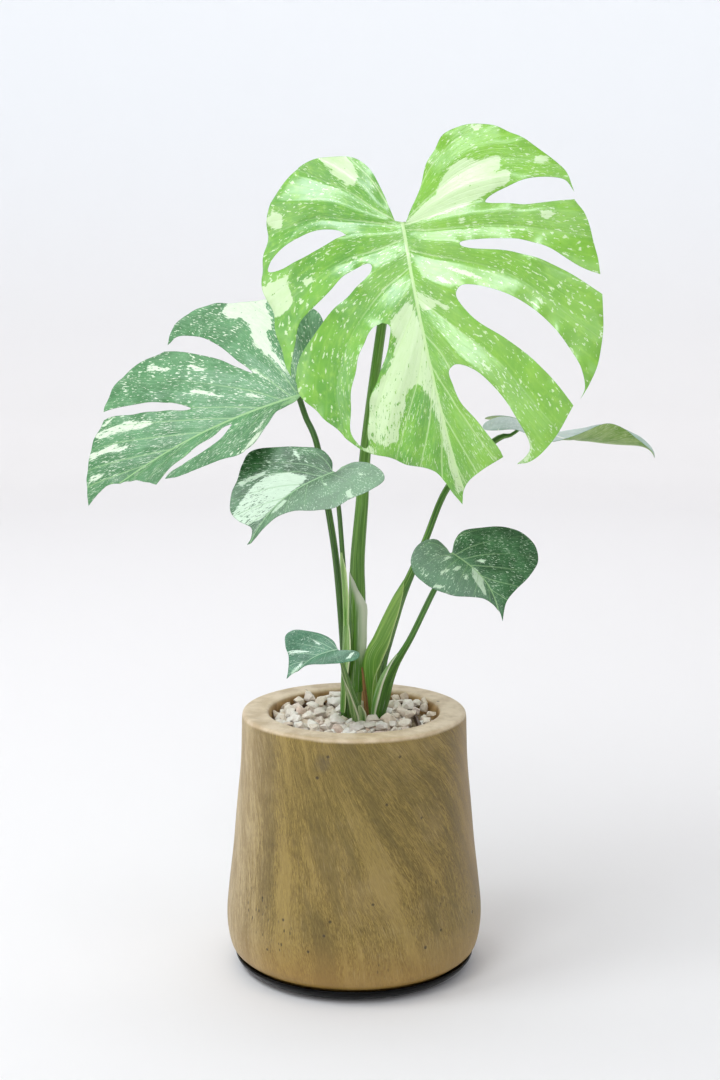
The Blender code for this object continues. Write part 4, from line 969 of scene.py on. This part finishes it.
def wood_material():
    m = Material("pot_wood")
    where = m.position()
    x, y, z = m.split(where)
    # the turn is 0 at the front and rises to the right
    turn = m.math("ARCTAN2", x, m.times(y, -1.0))
    reach = m.math("SQRT", m.plus(m.times(x, x), m.times(y, y)))
    girth = 0.092

    def around(point, near, far):
        """1 within near metres of the point, 0 beyond far."""
        gap = m.node("ShaderNodeVectorMath", {0: where, 1: point}, operation="DISTANCE").outputs["Value"]
        return m.step(gap, near, far, 1.0, 0.0)

    # the fibres fall to the right, upright at the foot and flatter towards the rim, and wander
    slow = m.noise(where, 9.0, 2.0, 0.5)
    fall = m.times(z, m.line(z, 2.3, 0.05))
    steep = m.math("MINIMUM", m.step(turn, -0.9, 0.25, 0.25, 1.0), m.step(turn, 1.9, 3.1, 1.0, 0.25))
    side = m.plus(m.times(turn, girth), m.line(slow, 0.03, -0.015))
    side = m.plus(side, m.times(fall, steep))
    ring = m.times(reach, 40.0)
    # behind, the girth is counted from the front instead, so that no seam shows where the angle wraps
    side_behind = m.plus(side, m.times(m.math("LESS_THAN", turn, 0.0), girth * 2 * math.pi))
    behind = m.step(m.math("ABSOLUTE", turn), 2.1, 2.7)

    def streaks(across, along, third, detail, rough):
        """Noise drawn out along the fibres."""
        height = m.times(z, along)
        near, far = (m.noise(m.join(m.times(girthwise, across), height, third), 1.0, detail, rough)
                     for girthwise in (side, side_behind))
        return m.line(m.minus(far, near), behind, near)

    fibre = streaks(1500.0, 210.0, ring, 4.0, 0.75)
    strand = streaks(480.0, 55.0, 4.0, 4.0, 0.65)
    broad = streaks(52.0, 9.0, 8.3, 3.0, 0.6)
    cloud = m.noise(where, 17.0, 4.0, 0.6)
    # olive in the upper part, warm tan at the foot, and painted sheen: greyer at the left, rosier at the
    # right
    olive = m.times(around((0.012, -0.088, 0.160), 0.02, 0.085), 0.5)
    tan = m.step(m.line(cloud, 0.03, z), 0.014, 0.075, 0.62, 0.0)
    left_sheen = m.times(m.step(turn, -1.35, -0.55, 1.0, 0.0), m.step(turn, -2.6, -1.6, 0.0, 0.75))
    blend = m.line(fibre, 0.35, m.line(strand, 0.35, m.times(broad, 0.3)))
    right_sheen = m.times(m.step(turn, 0.8, 1.4, 0.0, 0.5), m.step(z, 0.03, 0.1))
    right_sheen = m.times(right_sheen, m.step(turn, 1.9, 2.8, 1.0, 0.0))
    # short dark dashes, denser at the upper right
    dense = m.line(around((0.038, -0.080, 0.178), 0.01, 0.06), -0.055, 0.70)
    dashes = m.step(m.minus(streaks(700.0, 75.0, 2.0, 3.0, 0.6), dense), 0.0, 0.04)
    # a paler worn rim and a warm brown inside
    top = m.step(m.plus(z, m.times(m.minus(cloud, 0.5), 0.004)), 0.1985, 0.2008)
    wear = m.step(m.noise(where, 60.0, 4.0, 0.65), 0.35, 0.65)
    worn = m.mix(wear, srgb(196, 172, 136), srgb(224, 204, 174))
    inner = m.times(m.step(reach, 0.0656, 0.0670, 1.0, 0.0), m.step(z, 0.2006, 0.2014, 1.0, 0.0))
    brown = m.mix(m.step(broad, 0.35, 0.65), srgb(150, 112, 66), srgb(204, 168, 116))
    # pits: a cluster at the lower left, and single ones
    long_cells = m.cells(m.join(m.times(side, 300.0), m.times(z, 130.0), ring), 1.0)
    upper = around((-0.072, -0.066, 0.064), 0.008, 0.030)
    cluster = m.larger(upper, around((-0.055, -0.082, 0.048), 0.006, 0.022))
    rare = m.larger(m.step(m.noise(where, 26.0, 2.0, 0.5), 0.62, 0.70), cluster)
    pits = m.times(m.step(long_cells, 0.10, 0.24, 1.0, 0.0), rare)
    pits = m.larger(pits, m.step(m.cells(where, 33.0), 0.030, 0.055, 1.0, 0.0))
    for point in PITS:
        pits = m.larger(pits, around(point, 0.0006, 0.0016))
    pits = m.times(pits, m.step(reach, 0.0675, 0.070))
    smudge = m.times(around((-0.0230, -0.0843, 0.1830), 0.003, 0.0085), m.step(strand, 0.3, 0.6, 0.75, 0.2))
    cut = m.times(m.step(streaks(1500.0, 60.0, 9.0, 2.0, 0.5), 0.60, 0.68), m.step(cloud, 0.35, 0.6))
    colour = m.layers(
        srgb(98, 74, 22),
        (m.step(fibre, 0.34, 0.64), srgb(166, 142, 70)),
        (m.step(strand, 0.36, 0.62, 0.45, 0.0), srgb(96, 76, 28)),
        (m.step(broad, 0.36, 0.52, 0.55, 0.0), srgb(94, 78, 32)),
        (m.step(broad, 0.52, 0.68, 0.0, 0.5), srgb(172, 146, 80)),
        (m.step(cloud, 0.46, 0.70, 0.0, 0.45), srgb(160, 136, 84)),
        (m.times(olive, m.step(fibre, 0.3, 0.6, 1.0, 0.35)), srgb(96, 86, 34)),
        (tan, srgb(176, 136, 70)),
        # painted sheen on the left and right sides
        (left_sheen, m.mix(m.step(blend, 0.42, 0.58), srgb(158, 132, 88), srgb(208, 188, 150))),
        (right_sheen, srgb(158, 128, 84)),
        (m.times(dashes, 0.6), srgb(66, 54, 24)),
        (m.times(top, 0.95), worn),
        (inner, brown),
        (smudge, srgb(80, 70, 58)),
        (m.times(pits, 0.8), srgb(50, 38, 20)),
        (m.times(cut, 0.45), srgb(186, 164, 110)))
    height = m.plus(m.times(fibre, 0.4), m.times(strand, 0.35))
    height = m.minus(height, m.plus(pits, m.times(dashes, 0.4)))
    return m.finish(Base_Color=colour, Roughness=m.step(fibre, 0.25, 0.8, 0.40, 0.60),
                    Normal=m.bump(height, 0.0007, 0.5))


POT_OUTSIDE = [(78, 3.3), (84, 5.0), (87.6, 8.0), (91.0, 10.6), (94.2, 13.4), (96.8, 17.5), (99.2, 28),
               (100, 43.5), (97.9, 66), (94.4, 98.5), (90.8, 135), (88.2, 165), (87.3, 190)]
POT_LIP = [(87.3, 190), (87.2, 196), (86.9, 199.2), (86.2, 201.0), (84.9, 201.8), (83, 202), (76, 202),
           (70, 202), (68.2, 201.8), (67.0, 201.0), (66.4, 199.4), (66.2, 196), (66, 190)]
POT_INSIDE = [(66, 150), (66, 60), (60, 36), (46, 25.5), (8, 24), (8, 3.3)]


def pot_wobble(t, z):
    """Hand-worn unevenness of the turned wall, inwards only."""
    p = Vector((math.cos(t) * 2.2, math.sin(t) * 2.2, z / 38))
    return -0.35 * (noise.noise(p) + 1) * min(1.0, z / 20)


pot_profile = smooth_path(POT_OUTSIDE, 2.4)[:-1] + smooth_path(POT_LIP, 0.9) + POT_INSIDE
pot = turned("pot_turned", pot_profile, 192, wood_material(), pot_wobble)
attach(pot, "root")
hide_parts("pot")

SAUCER = [(0, 0), (80, 0), (86, 1.2), (90.5, 4.2), (92.8, 7.2), (93.4, 8.6), (92.9, 9.5),
          (91.4, 9.5), (90.4, 8.4), (88.8, 5.6), (85.5, 3.7), (80, 3), (0, 3)]
m = Material("saucer_glaze")
haze = m.noise(m.position(), 260.0, 4.0, 0.6)
glaze = m.finish(Base_Color=m.mix(m.step(haze, 0.4, 0.7), srgb(3, 3, 4), srgb(8, 8, 9)),
                 Roughness=m.step(haze, 0.3, 0.75, 0.20, 0.24), Specular_IOR_Level=0.1)
dish = turned("saucer_dish", [SAUCER[0], *smooth_path(SAUCER[1:-1], 0.8), SAUCER[-1]], 160, glaze)
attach(dish, "root")
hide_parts("saucer")


# Gravel: the same stones as the solids', with broken faces and pores, and smaller ones between them
def crown(height, r):
    """How much a bed that is height mm higher in the middle rises at r mm."""
    return height * (1 - (r / POT_OPENING_R) ** 2)


def kept_in(x, y):
    """The point in mm, moved in where it would cut the pot."""
    share = min(1.0, STONE_LIMIT_R / max(1e-9, math.hypot(x, y)))
    return x * share, y * share


def off_nursery_wall(x, y):
    return abs(x * math.cos(NURSERY_TURN) + y * math.sin(NURSERY_TURN) - NURSERY_HALF)


def clear_of_stalks(x, y):
    feet = [(*rings[0][:2], rings[0][3]) for rings, *_ in STALKS.values()] + [HUSK_FOOT]
    return min(math.hypot(x - fx, y - fy) - fr for fx, fy, fr in feet)


def gravel_points(rng, x, y, z, size):
    """Corner points of one stone in mm."""
    tilt = rng.uniform(0, math.pi)
    stretch = (rng.uniform(0.9, 1.3), rng.uniform(0.75, 1.0), rng.uniform(0.75, 0.95))
    points = []
    for k in range(10):
        up = 1 - 2 * (k + 0.5) / 10
        t = 2.4 * k + tilt
        flat = math.sqrt(1 - up * up)
        wobble = rng.uniform(0.88, 1.12)
        px = flat * math.cos(t) * stretch[0] * wobble
        py = flat * math.sin(t) * stretch[1] * wobble
        spun = (px * math.cos(tilt) - py * math.sin(tilt), px * math.sin(tilt) + py * math.cos(tilt))
        corner = kept_in(x + size * spun[0], y + size * spun[1])
        points.append((*corner, z + size * up * stretch[2] * wobble))
    return points


def block_points(x, y, z, wide, high):
    """Corners of an angular stone in mm."""
    spin = extra.uniform(0, math.pi)
    points = []
    for k in range(11):
        up = extra.uniform(-1, 1)
        t = 2.4 * k + spin
        square = 1 / max(abs(math.cos(t)), abs(math.sin(t)))
        flat = (1 - abs(up) ** 3) ** 0.4 * (0.55 + 0.45 * square)
        size = wide * extra.uniform(0.86, 1.04)
        corner = kept_in(x + flat * math.cos(t) * size, y + flat * math.sin(t) * size * 0.86)
        points.append((*corner, z + up * high))
    return points


def put_stone(points, fine=2):
    """Adds the hull of the points to the gravel, broken up by fine rounds of cuts, with its random tint."""
    bm = bmesh.new()
    for p in points:
        bm.verts.new(p)
    hull = bmesh.ops.convex_hull(bm, input=bm.verts)
    loose = [g for g in hull["geom_interior"] if isinstance(g, bmesh.types.BMVert)]
    bmesh.ops.delete(bm, geom=loose, context="VERTS")
    for _ in range(fine):
        bmesh.ops.subdivide_edges(bm, edges=bm.edges, cuts=1, use_grid_fill=True)
        bmesh.ops.smooth_vert(bm, verts=bm.verts, factor=0.12, use_axis_x=True, use_axis_y=True,
                              use_axis_z=True)
    shift = Vector([extra.uniform(-9, 9) for _ in range(3)])
    bm.normal_update()
    for v in bm.verts:
        rough = noise.noise(v.co * 0.35 + shift) * 0.55 + noise.noise(v.co * 1.1 + shift) * 0.28
        v.co += v.normal * rough
    bm.verts.index_update()
    first = len(verts)
    faces.extend(tuple(first + v.index for v in f.verts) for f in bm.faces)
    verts.extend(v.co * MM for v in bm.verts)
    tints.extend([[extra.random() for _ in range(3)]] * len(bm.verts))
    bm.free()


rng = random.Random(11)
extra = random.Random(5)
# random shift of a stone to the side, and the distance between rows as a share of the pitch
STONE_SHIFT = 2.2
ROW_SHARE = 0.866
# how far a stone's middle stays from the pot, the nursery pot's wall and the stalks, in mm
OFF_POT = 5.5
OFF_WALL = 6.5
OFF_STALK = 3.5
WALL_REACH = 26
SMALL_STONES = 260
# the dry sheath's foot: place and half width with its gap, in mm
HUSK_FOOT = (10.0, 2.5, 2.3)
verts, faces, tints = [], [], []
for row in range(-6, 7):
    for col in range(-7, 8):
        x = (col + 0.5 * (row % 2)) * STONE_PITCH + rng.uniform(-STONE_SHIFT, STONE_SHIFT)
        y = row * STONE_PITCH * ROW_SHARE + rng.uniform(-STONE_SHIFT, STONE_SHIFT)
        size = rng.uniform(5.2, 7.2)
        drop = rng.uniform(-1.0, 1.0)
        reach = math.hypot(x, y)
        clear = clear_of_stalks(x, y)
        by_wall = off_nursery_wall(x, y) < OFF_WALL and abs(y) < WALL_REACH
        if reach > POT_OPENING_R - OFF_POT or by_wall or clear < OFF_STALK:
            continue
        z = BED_TOP_Z + 0.3 + crown(BED_CROWN, reach) + drop
        put_stone(gravel_points(rng, x, y, z, min(size, 3.4 + clear * 0.5)))
# the larger stones that lie on top: place, half width and half height in mm
TOP_STONES = [(-61, 17, 194, 4.4, 4.4), (-55, 25, 194, 4.0, 3.4), (-54, 3, 194, 4.2, 3.6),
    (-50, 13, 196, 4.4, 4.2), (-45, 33, 196, 7.0, 4.2), (-35, 50, 199.5, 6.0, 5.4), (-26, 44, 197, 6.4, 4.2),
    (-33, 27, 197, 6.0, 4.0), (-27, 10, 196, 6.6, 4.6), (-35, -1, 196, 6.2, 4.2), (-44, -6, 196, 4.6, 4.4),
    (-15, 54, 199, 6.4, 4.8), (-14, 34, 198, 6.0, 4.8), (-11, 22, 197, 5.0, 4.2), (-13, -12, 197, 6.6, 5.8),
    (-22, -29, 195, 5.0, 4.0), (-11, -34, 195, 4.6, 3.6), (1, -31, 196, 6.8, 4.6), (-5, -10, 195, 4.2, 4.4),
    (-31, -29, 195, 5.4, 3.6), (-41, -22, 195, 4.2, 3.4), (-50, -16, 194, 4.6, 3.2), (5, 31, 197, 4.2, 4.8),
    (15, -7, 196, 6.4, 3.8), (26, -12, 197, 7.0, 5.8), (21, -28, 196, 5.6, 4.2), (30, -36, 195, 4.8, 3.4),
    (27, 12, 197, 4.2, 3.8), (29, 33, 197, 4.4, 4.2), (33, 47, 198, 4.2, 4.0), (40, 46, 200, 4.2, 5.2),
    (35, 40, 197, 4.8, 4.2), (42, 29, 198, 6.0, 5.4), (38, 12, 197, 6.6, 5.4), (44, 1, 196, 5.6, 5.6),
    (39, -16, 196, 6.0, 4.4), (55, 27, 196, 4.2, 4.4), (57, 34, 198, 5.0, 5.4), (60, 8, 195, 4.6, 4.0),
    (56, -8, 195, 4.8, 3.4), (12, -24, 195, 6.2, 3.6), (0, -46, 194, 5.6, 4.0), (-20, -44, 194, 5.4, 4.0),
    (20, -45, 194, 5.4, 4.0), (-38, -38, 193, 5.2, 4.0), (40, -34, 194, 5.4, 4.0), (-58, -10, 193, 4.6, 4.0),
    (12, 52, 196, 5.6, 4.6), (-54, 32, 196, 4.6, 4.4), (-44, 43, 197, 4.6, 4.4), (-51, 22, 196.5, 4.4, 3.8),
    (-47, 3, 196, 4.6, 3.8), (-49, -4, 195, 4.2, 3.8), (-42, 14, 197, 4.6, 3.8), (-22, 52, 198, 4.4, 3.8),
    (-28, 36, 197, 4.6, 3.8), (-18, 42, 197.5, 4.4, 3.6), (22, 44, 197, 4.4, 3.8), (34, 30, 197, 4.0, 3.4),
    (34, 21, 196.5, 4.4, 3.6), (32, 4, 196.5, 4.2, 3.6), (48, 16, 196, 4.0, 3.8), (30, -22, 196, 4.4, 3.4),
    (-3, 56, 197, 5.0, 4.4), (24, 55, 197, 5.0, 4.4), (50, 40, 196, 4.6, 4.2)]
for stone in TOP_STONES:
    put_stone(block_points(*stone))
# small stones scattered between
for _ in range(SMALL_STONES):
    t = extra.uniform(0, 2 * math.pi)
    r = (POT_OPENING_R - 5) * math.sqrt(extra.random())
    x, y = r * math.cos(t), r * math.sin(t)
    size = extra.uniform(2.0, 3.6)
    if clear_of_stalks(x, y) < size or (off_nursery_wall(x, y) < 3.0 and abs(y) < 30):
        continue
    z = BED_TOP_Z + crown(BED_CROWN, r) + extra.uniform(0.4, 3.2)
    put_stone(gravel_points(extra, x, y, z, size), 1)

m = Material("pumice")
tone, warm, light = m.attribute("tint")
pores = m.cells(m.position(), 900.0)
grain = m.noise(m.position(), 420.0, 5.0, 0.7)
stain = m.noise(m.position(), 110.0, 3.0, 0.6)
colour = m.layers(
    srgb(234, 218, 196),
    (tone, srgb(252, 246, 236)),
    (m.step(warm, 0.6, 1.0, 0.0, 0.6), srgb(220, 184, 164)),
    (m.step(stain, 0.58, 0.8, 0.0, 0.35), srgb(206, 180, 148)),
    (m.step(grain, 0.3, 0.58, 0.25, 0.0), srgb(190, 170, 146)),
    (m.step(light, 0.55, 0.95, 0.0, 0.6), srgb(248, 246, 240)))
height = m.plus(m.times(grain, 0.9), m.times(m.step(pores, 0.1, 0.45), 0.4))
pumice = m.finish(Base_Color=colour, Roughness=m.step(grain, 0.2, 0.8, 0.8, 0.98),
                  Normal=m.bump(height, 0.0009, 0.9))
stones = add_mesh("gravel_stones", verts, faces, [pumice])
stones.data.set_sharp_from_angle(angle=math.radians(32))
vector_attribute(stones, "tint", "POINT", tints)
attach(stones, "root")
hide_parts("gravel")


def level_ring(r, z, sides):
    return [turned_point(r, 2 * math.pi * k / sides, z) for k in range(sides)]


# the grit under and between the stones: a lumpy top, a wall and a flat underside
m = Material("grit")
crumbs = m.cells(m.position(), 520.0)
mixed = m.noise(m.position(), 300.0, 4.0, 0.7)
colour = m.mix(m.step(mixed, 0.35, 0.7), srgb(150, 128, 100), srgb(206, 188, 160))
colour = m.mix(m.step(crumbs, 0.1, 0.5, 0.7, 0.0), colour, srgb(188, 172, 148))
mat = m.finish(Base_Color=colour, Roughness=m.step(mixed, 0.2, 0.8, 0.85, 1.0),
               Normal=m.bump(crumbs, 0.0012, 0.8))
RINGS, SPOKES = 26, 96
GRIT_CROWN = 2.4
GRIT_FLOOR_Z = 176.5
verts = [(0, 0, (BED_TOP_Z + GRIT_CROWN) * MM)]
for i in range(1, RINGS + 1):
    r = STONE_LIMIT_R * i / RINGS
    for k in range(SPOKES):
        t = 2 * math.pi * k / SPOKES
        x, y = r * math.cos(t), r * math.sin(t)
        lump = noise.noise(Vector((x * 0.45, y * 0.45, 0))) * 0.9
        lump += noise.noise(Vector((x * 0.12, y * 0.12, 3))) * 0.8
        verts.append(turned_point(r, t, BED_TOP_Z + crown(GRIT_CROWN, r) + lump - 0.8))
verts += level_ring(STONE_LIMIT_R, GRIT_FLOOR_Z, SPOKES)
faces = [(0, 1 + k, 1 + (k + 1) % SPOKES) for k in range(SPOKES)]
faces += [(a, d, c, b) for a, b, c, d in ring_quads(RINGS + 1, SPOKES, 1)]
faces.append(tuple(range(len(verts) - SPOKES, len(verts)))[::-1])
grit = add_mesh("gravel_grit", verts, faces, [mat])
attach(grit, "root")
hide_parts("gravel")

# the solids that stay visible: soil and the nursery pot's rim
m = Material("soil_crumb")
clods = m.cells(m.position(), 420.0)
damp = m.noise(m.position(), 150.0, 5.0, 0.7)
soil = m.finish(Base_Color=m.mix(m.step(damp, 0.35, 0.7), srgb(34, 24, 17), srgb(84, 62, 44)),
                Roughness=m.step(damp, 0.2, 0.8, 0.85, 1.0), Normal=m.bump(clods, 0.0015, 0.9))
m = Material("nursery_plastic")
dust = m.noise(m.position(), 380.0, 5.0, 0.65)
plastic = m.finish(Base_Color=m.mix(m.step(dust, 0.5, 0.75), srgb(74, 54, 40), srgb(128, 100, 76)),
                   Roughness=m.step(dust, 0.3, 0.8, 0.35, 0.8), Normal=m.bump(dust, 0.0004, 0.5))
for node, mat in (("soil", soil), ("nursery_pot_rim", plastic)):
    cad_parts[node].data.materials.clear()
    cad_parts[node].data.materials.append(mat)

# the dry brown sheath
m = Material("dry_husk")
x, y, up = m.attribute("around")
fibre = m.noise(m.join(m.times(x, 4.0), m.times(y, 4.0), m.times(up, 0.05)), 2.4, 5.0, 0.7)
mat = m.finish(Base_Color=m.mix(m.step(fibre, 0.3, 0.72), srgb(104, 66, 32), srgb(186, 140, 84)),
               Roughness=m.step(fibre, 0.2, 0.8, 0.75, 0.95), Normal=m.bump(fibre, 0.0008, 0.8))
HUSK = [(10.0, 2.5, ROOT_Z, 2.0, 1.2), (10.0, 2.5, 192, 2.0, 1.2), (8.4, 1.8, 214, 1.6, 1.1),
        (6.2, 1.0, 235, 0.6, 0.5)]
husk = tube("dry_husk", HUSK, (0.3, -1), 24, mat, "dry_sheath")

# stage: a plain pale floor that turns up into a round wall, by radius and height in mm
ROOM = [(2400, -1), (2560, 10), (2660, 60), (2740, 160), (2780, 320), (2780, 3200)]
m = Material("stage_paint")
height = m.split(m.position())[2]
paint = m.mix(m.step(height, 0.0, 0.9), (0.87, 0.845, 0.84), (0.85, 0.865, 0.89))
verts = [p for r, z in ROOM for p in level_ring(r, z, SPOKES)]
faces = [tuple(range(SPOKES))] + [(b, a, d, c) for a, b, c, d in ring_quads(len(ROOM), SPOKES)]
stage = add_mesh("stage_room", verts, faces, [m.finish(Base_Color=paint, Roughness=0.9)])

# light
world = bpy.data.worlds.new("soft_sky")
world.use_nodes = True
sky = world.node_tree.nodes["Background"].inputs
sky["Color"].default_value = (0.97, 0.98, 1.0, 1.0)
sky["Strength"].default_value = 0.46
scene.world = world

# place and target in metres, width, height, power and colour of each soft light
DAY, SKY = (1.0, 1.0, 1.0), (0.9, 0.97, 1.0)
LIGHTS = {
    "window": ((-1.284, -0.417, 2.059), (0.0, 0.0, 0.45), 0.8, 0.8, 14.3, SKY),
    "window_front": ((-0.669, -1.159, 1.936), (0.0, 0.0, 0.45), 0.6, 0.7, 9.5, SKY),
    "overhead": ((0.0, -0.1, 2.5), (0.0, -0.1, 0.0), 0.75, 0.75, 3.0, DAY),
    "front": ((-0.4, -1.9, 1.3), (0.0, 0.0, 0.3), 1.8, 1.4, 6.5, DAY),
    "side": ((-2.1, -0.5, 0.7), (0.0, 0.0, 0.2), 1.2, 1.2, 4.5, DAY),
    "backdrop": ((0.0, 0.9, 2.5), (0.0, 2.7, 0.9), 3.4, 0.8, 25.0, DAY),
}
for name, (place, target, width, height, power, colour) in LIGHTS.items():
    data = bpy.data.lights.new(name, "AREA")
    data.shape = "RECTANGLE"
    data.size = width
    data.size_y = height
    data.energy = power
    data.color = colour
    lamp = bpy.data.objects.new(name, data)
    scene_root.objects.link(lamp)
    lamp.location = place
    lamp.rotation_euler = (Vector(target) - Vector(place)).to_track_quat("-Z", "Y").to_euler()

scene.view_settings.view_transform = "Standard"

eye = bpy.data.cameras.new("camera")
eye.lens = LENS_MM
eye.sensor_width = 36.0
eye.sensor_fit = "AUTO"
eye.clip_end = 20.0
camera = bpy.data.objects.new("camera", eye)
scene_root.objects.link(camera)
camera.location = EYE
camera.rotation_euler = (math.radians(90 - PITCH_DEG), 0.0, 0.0)
scene.camera = camera
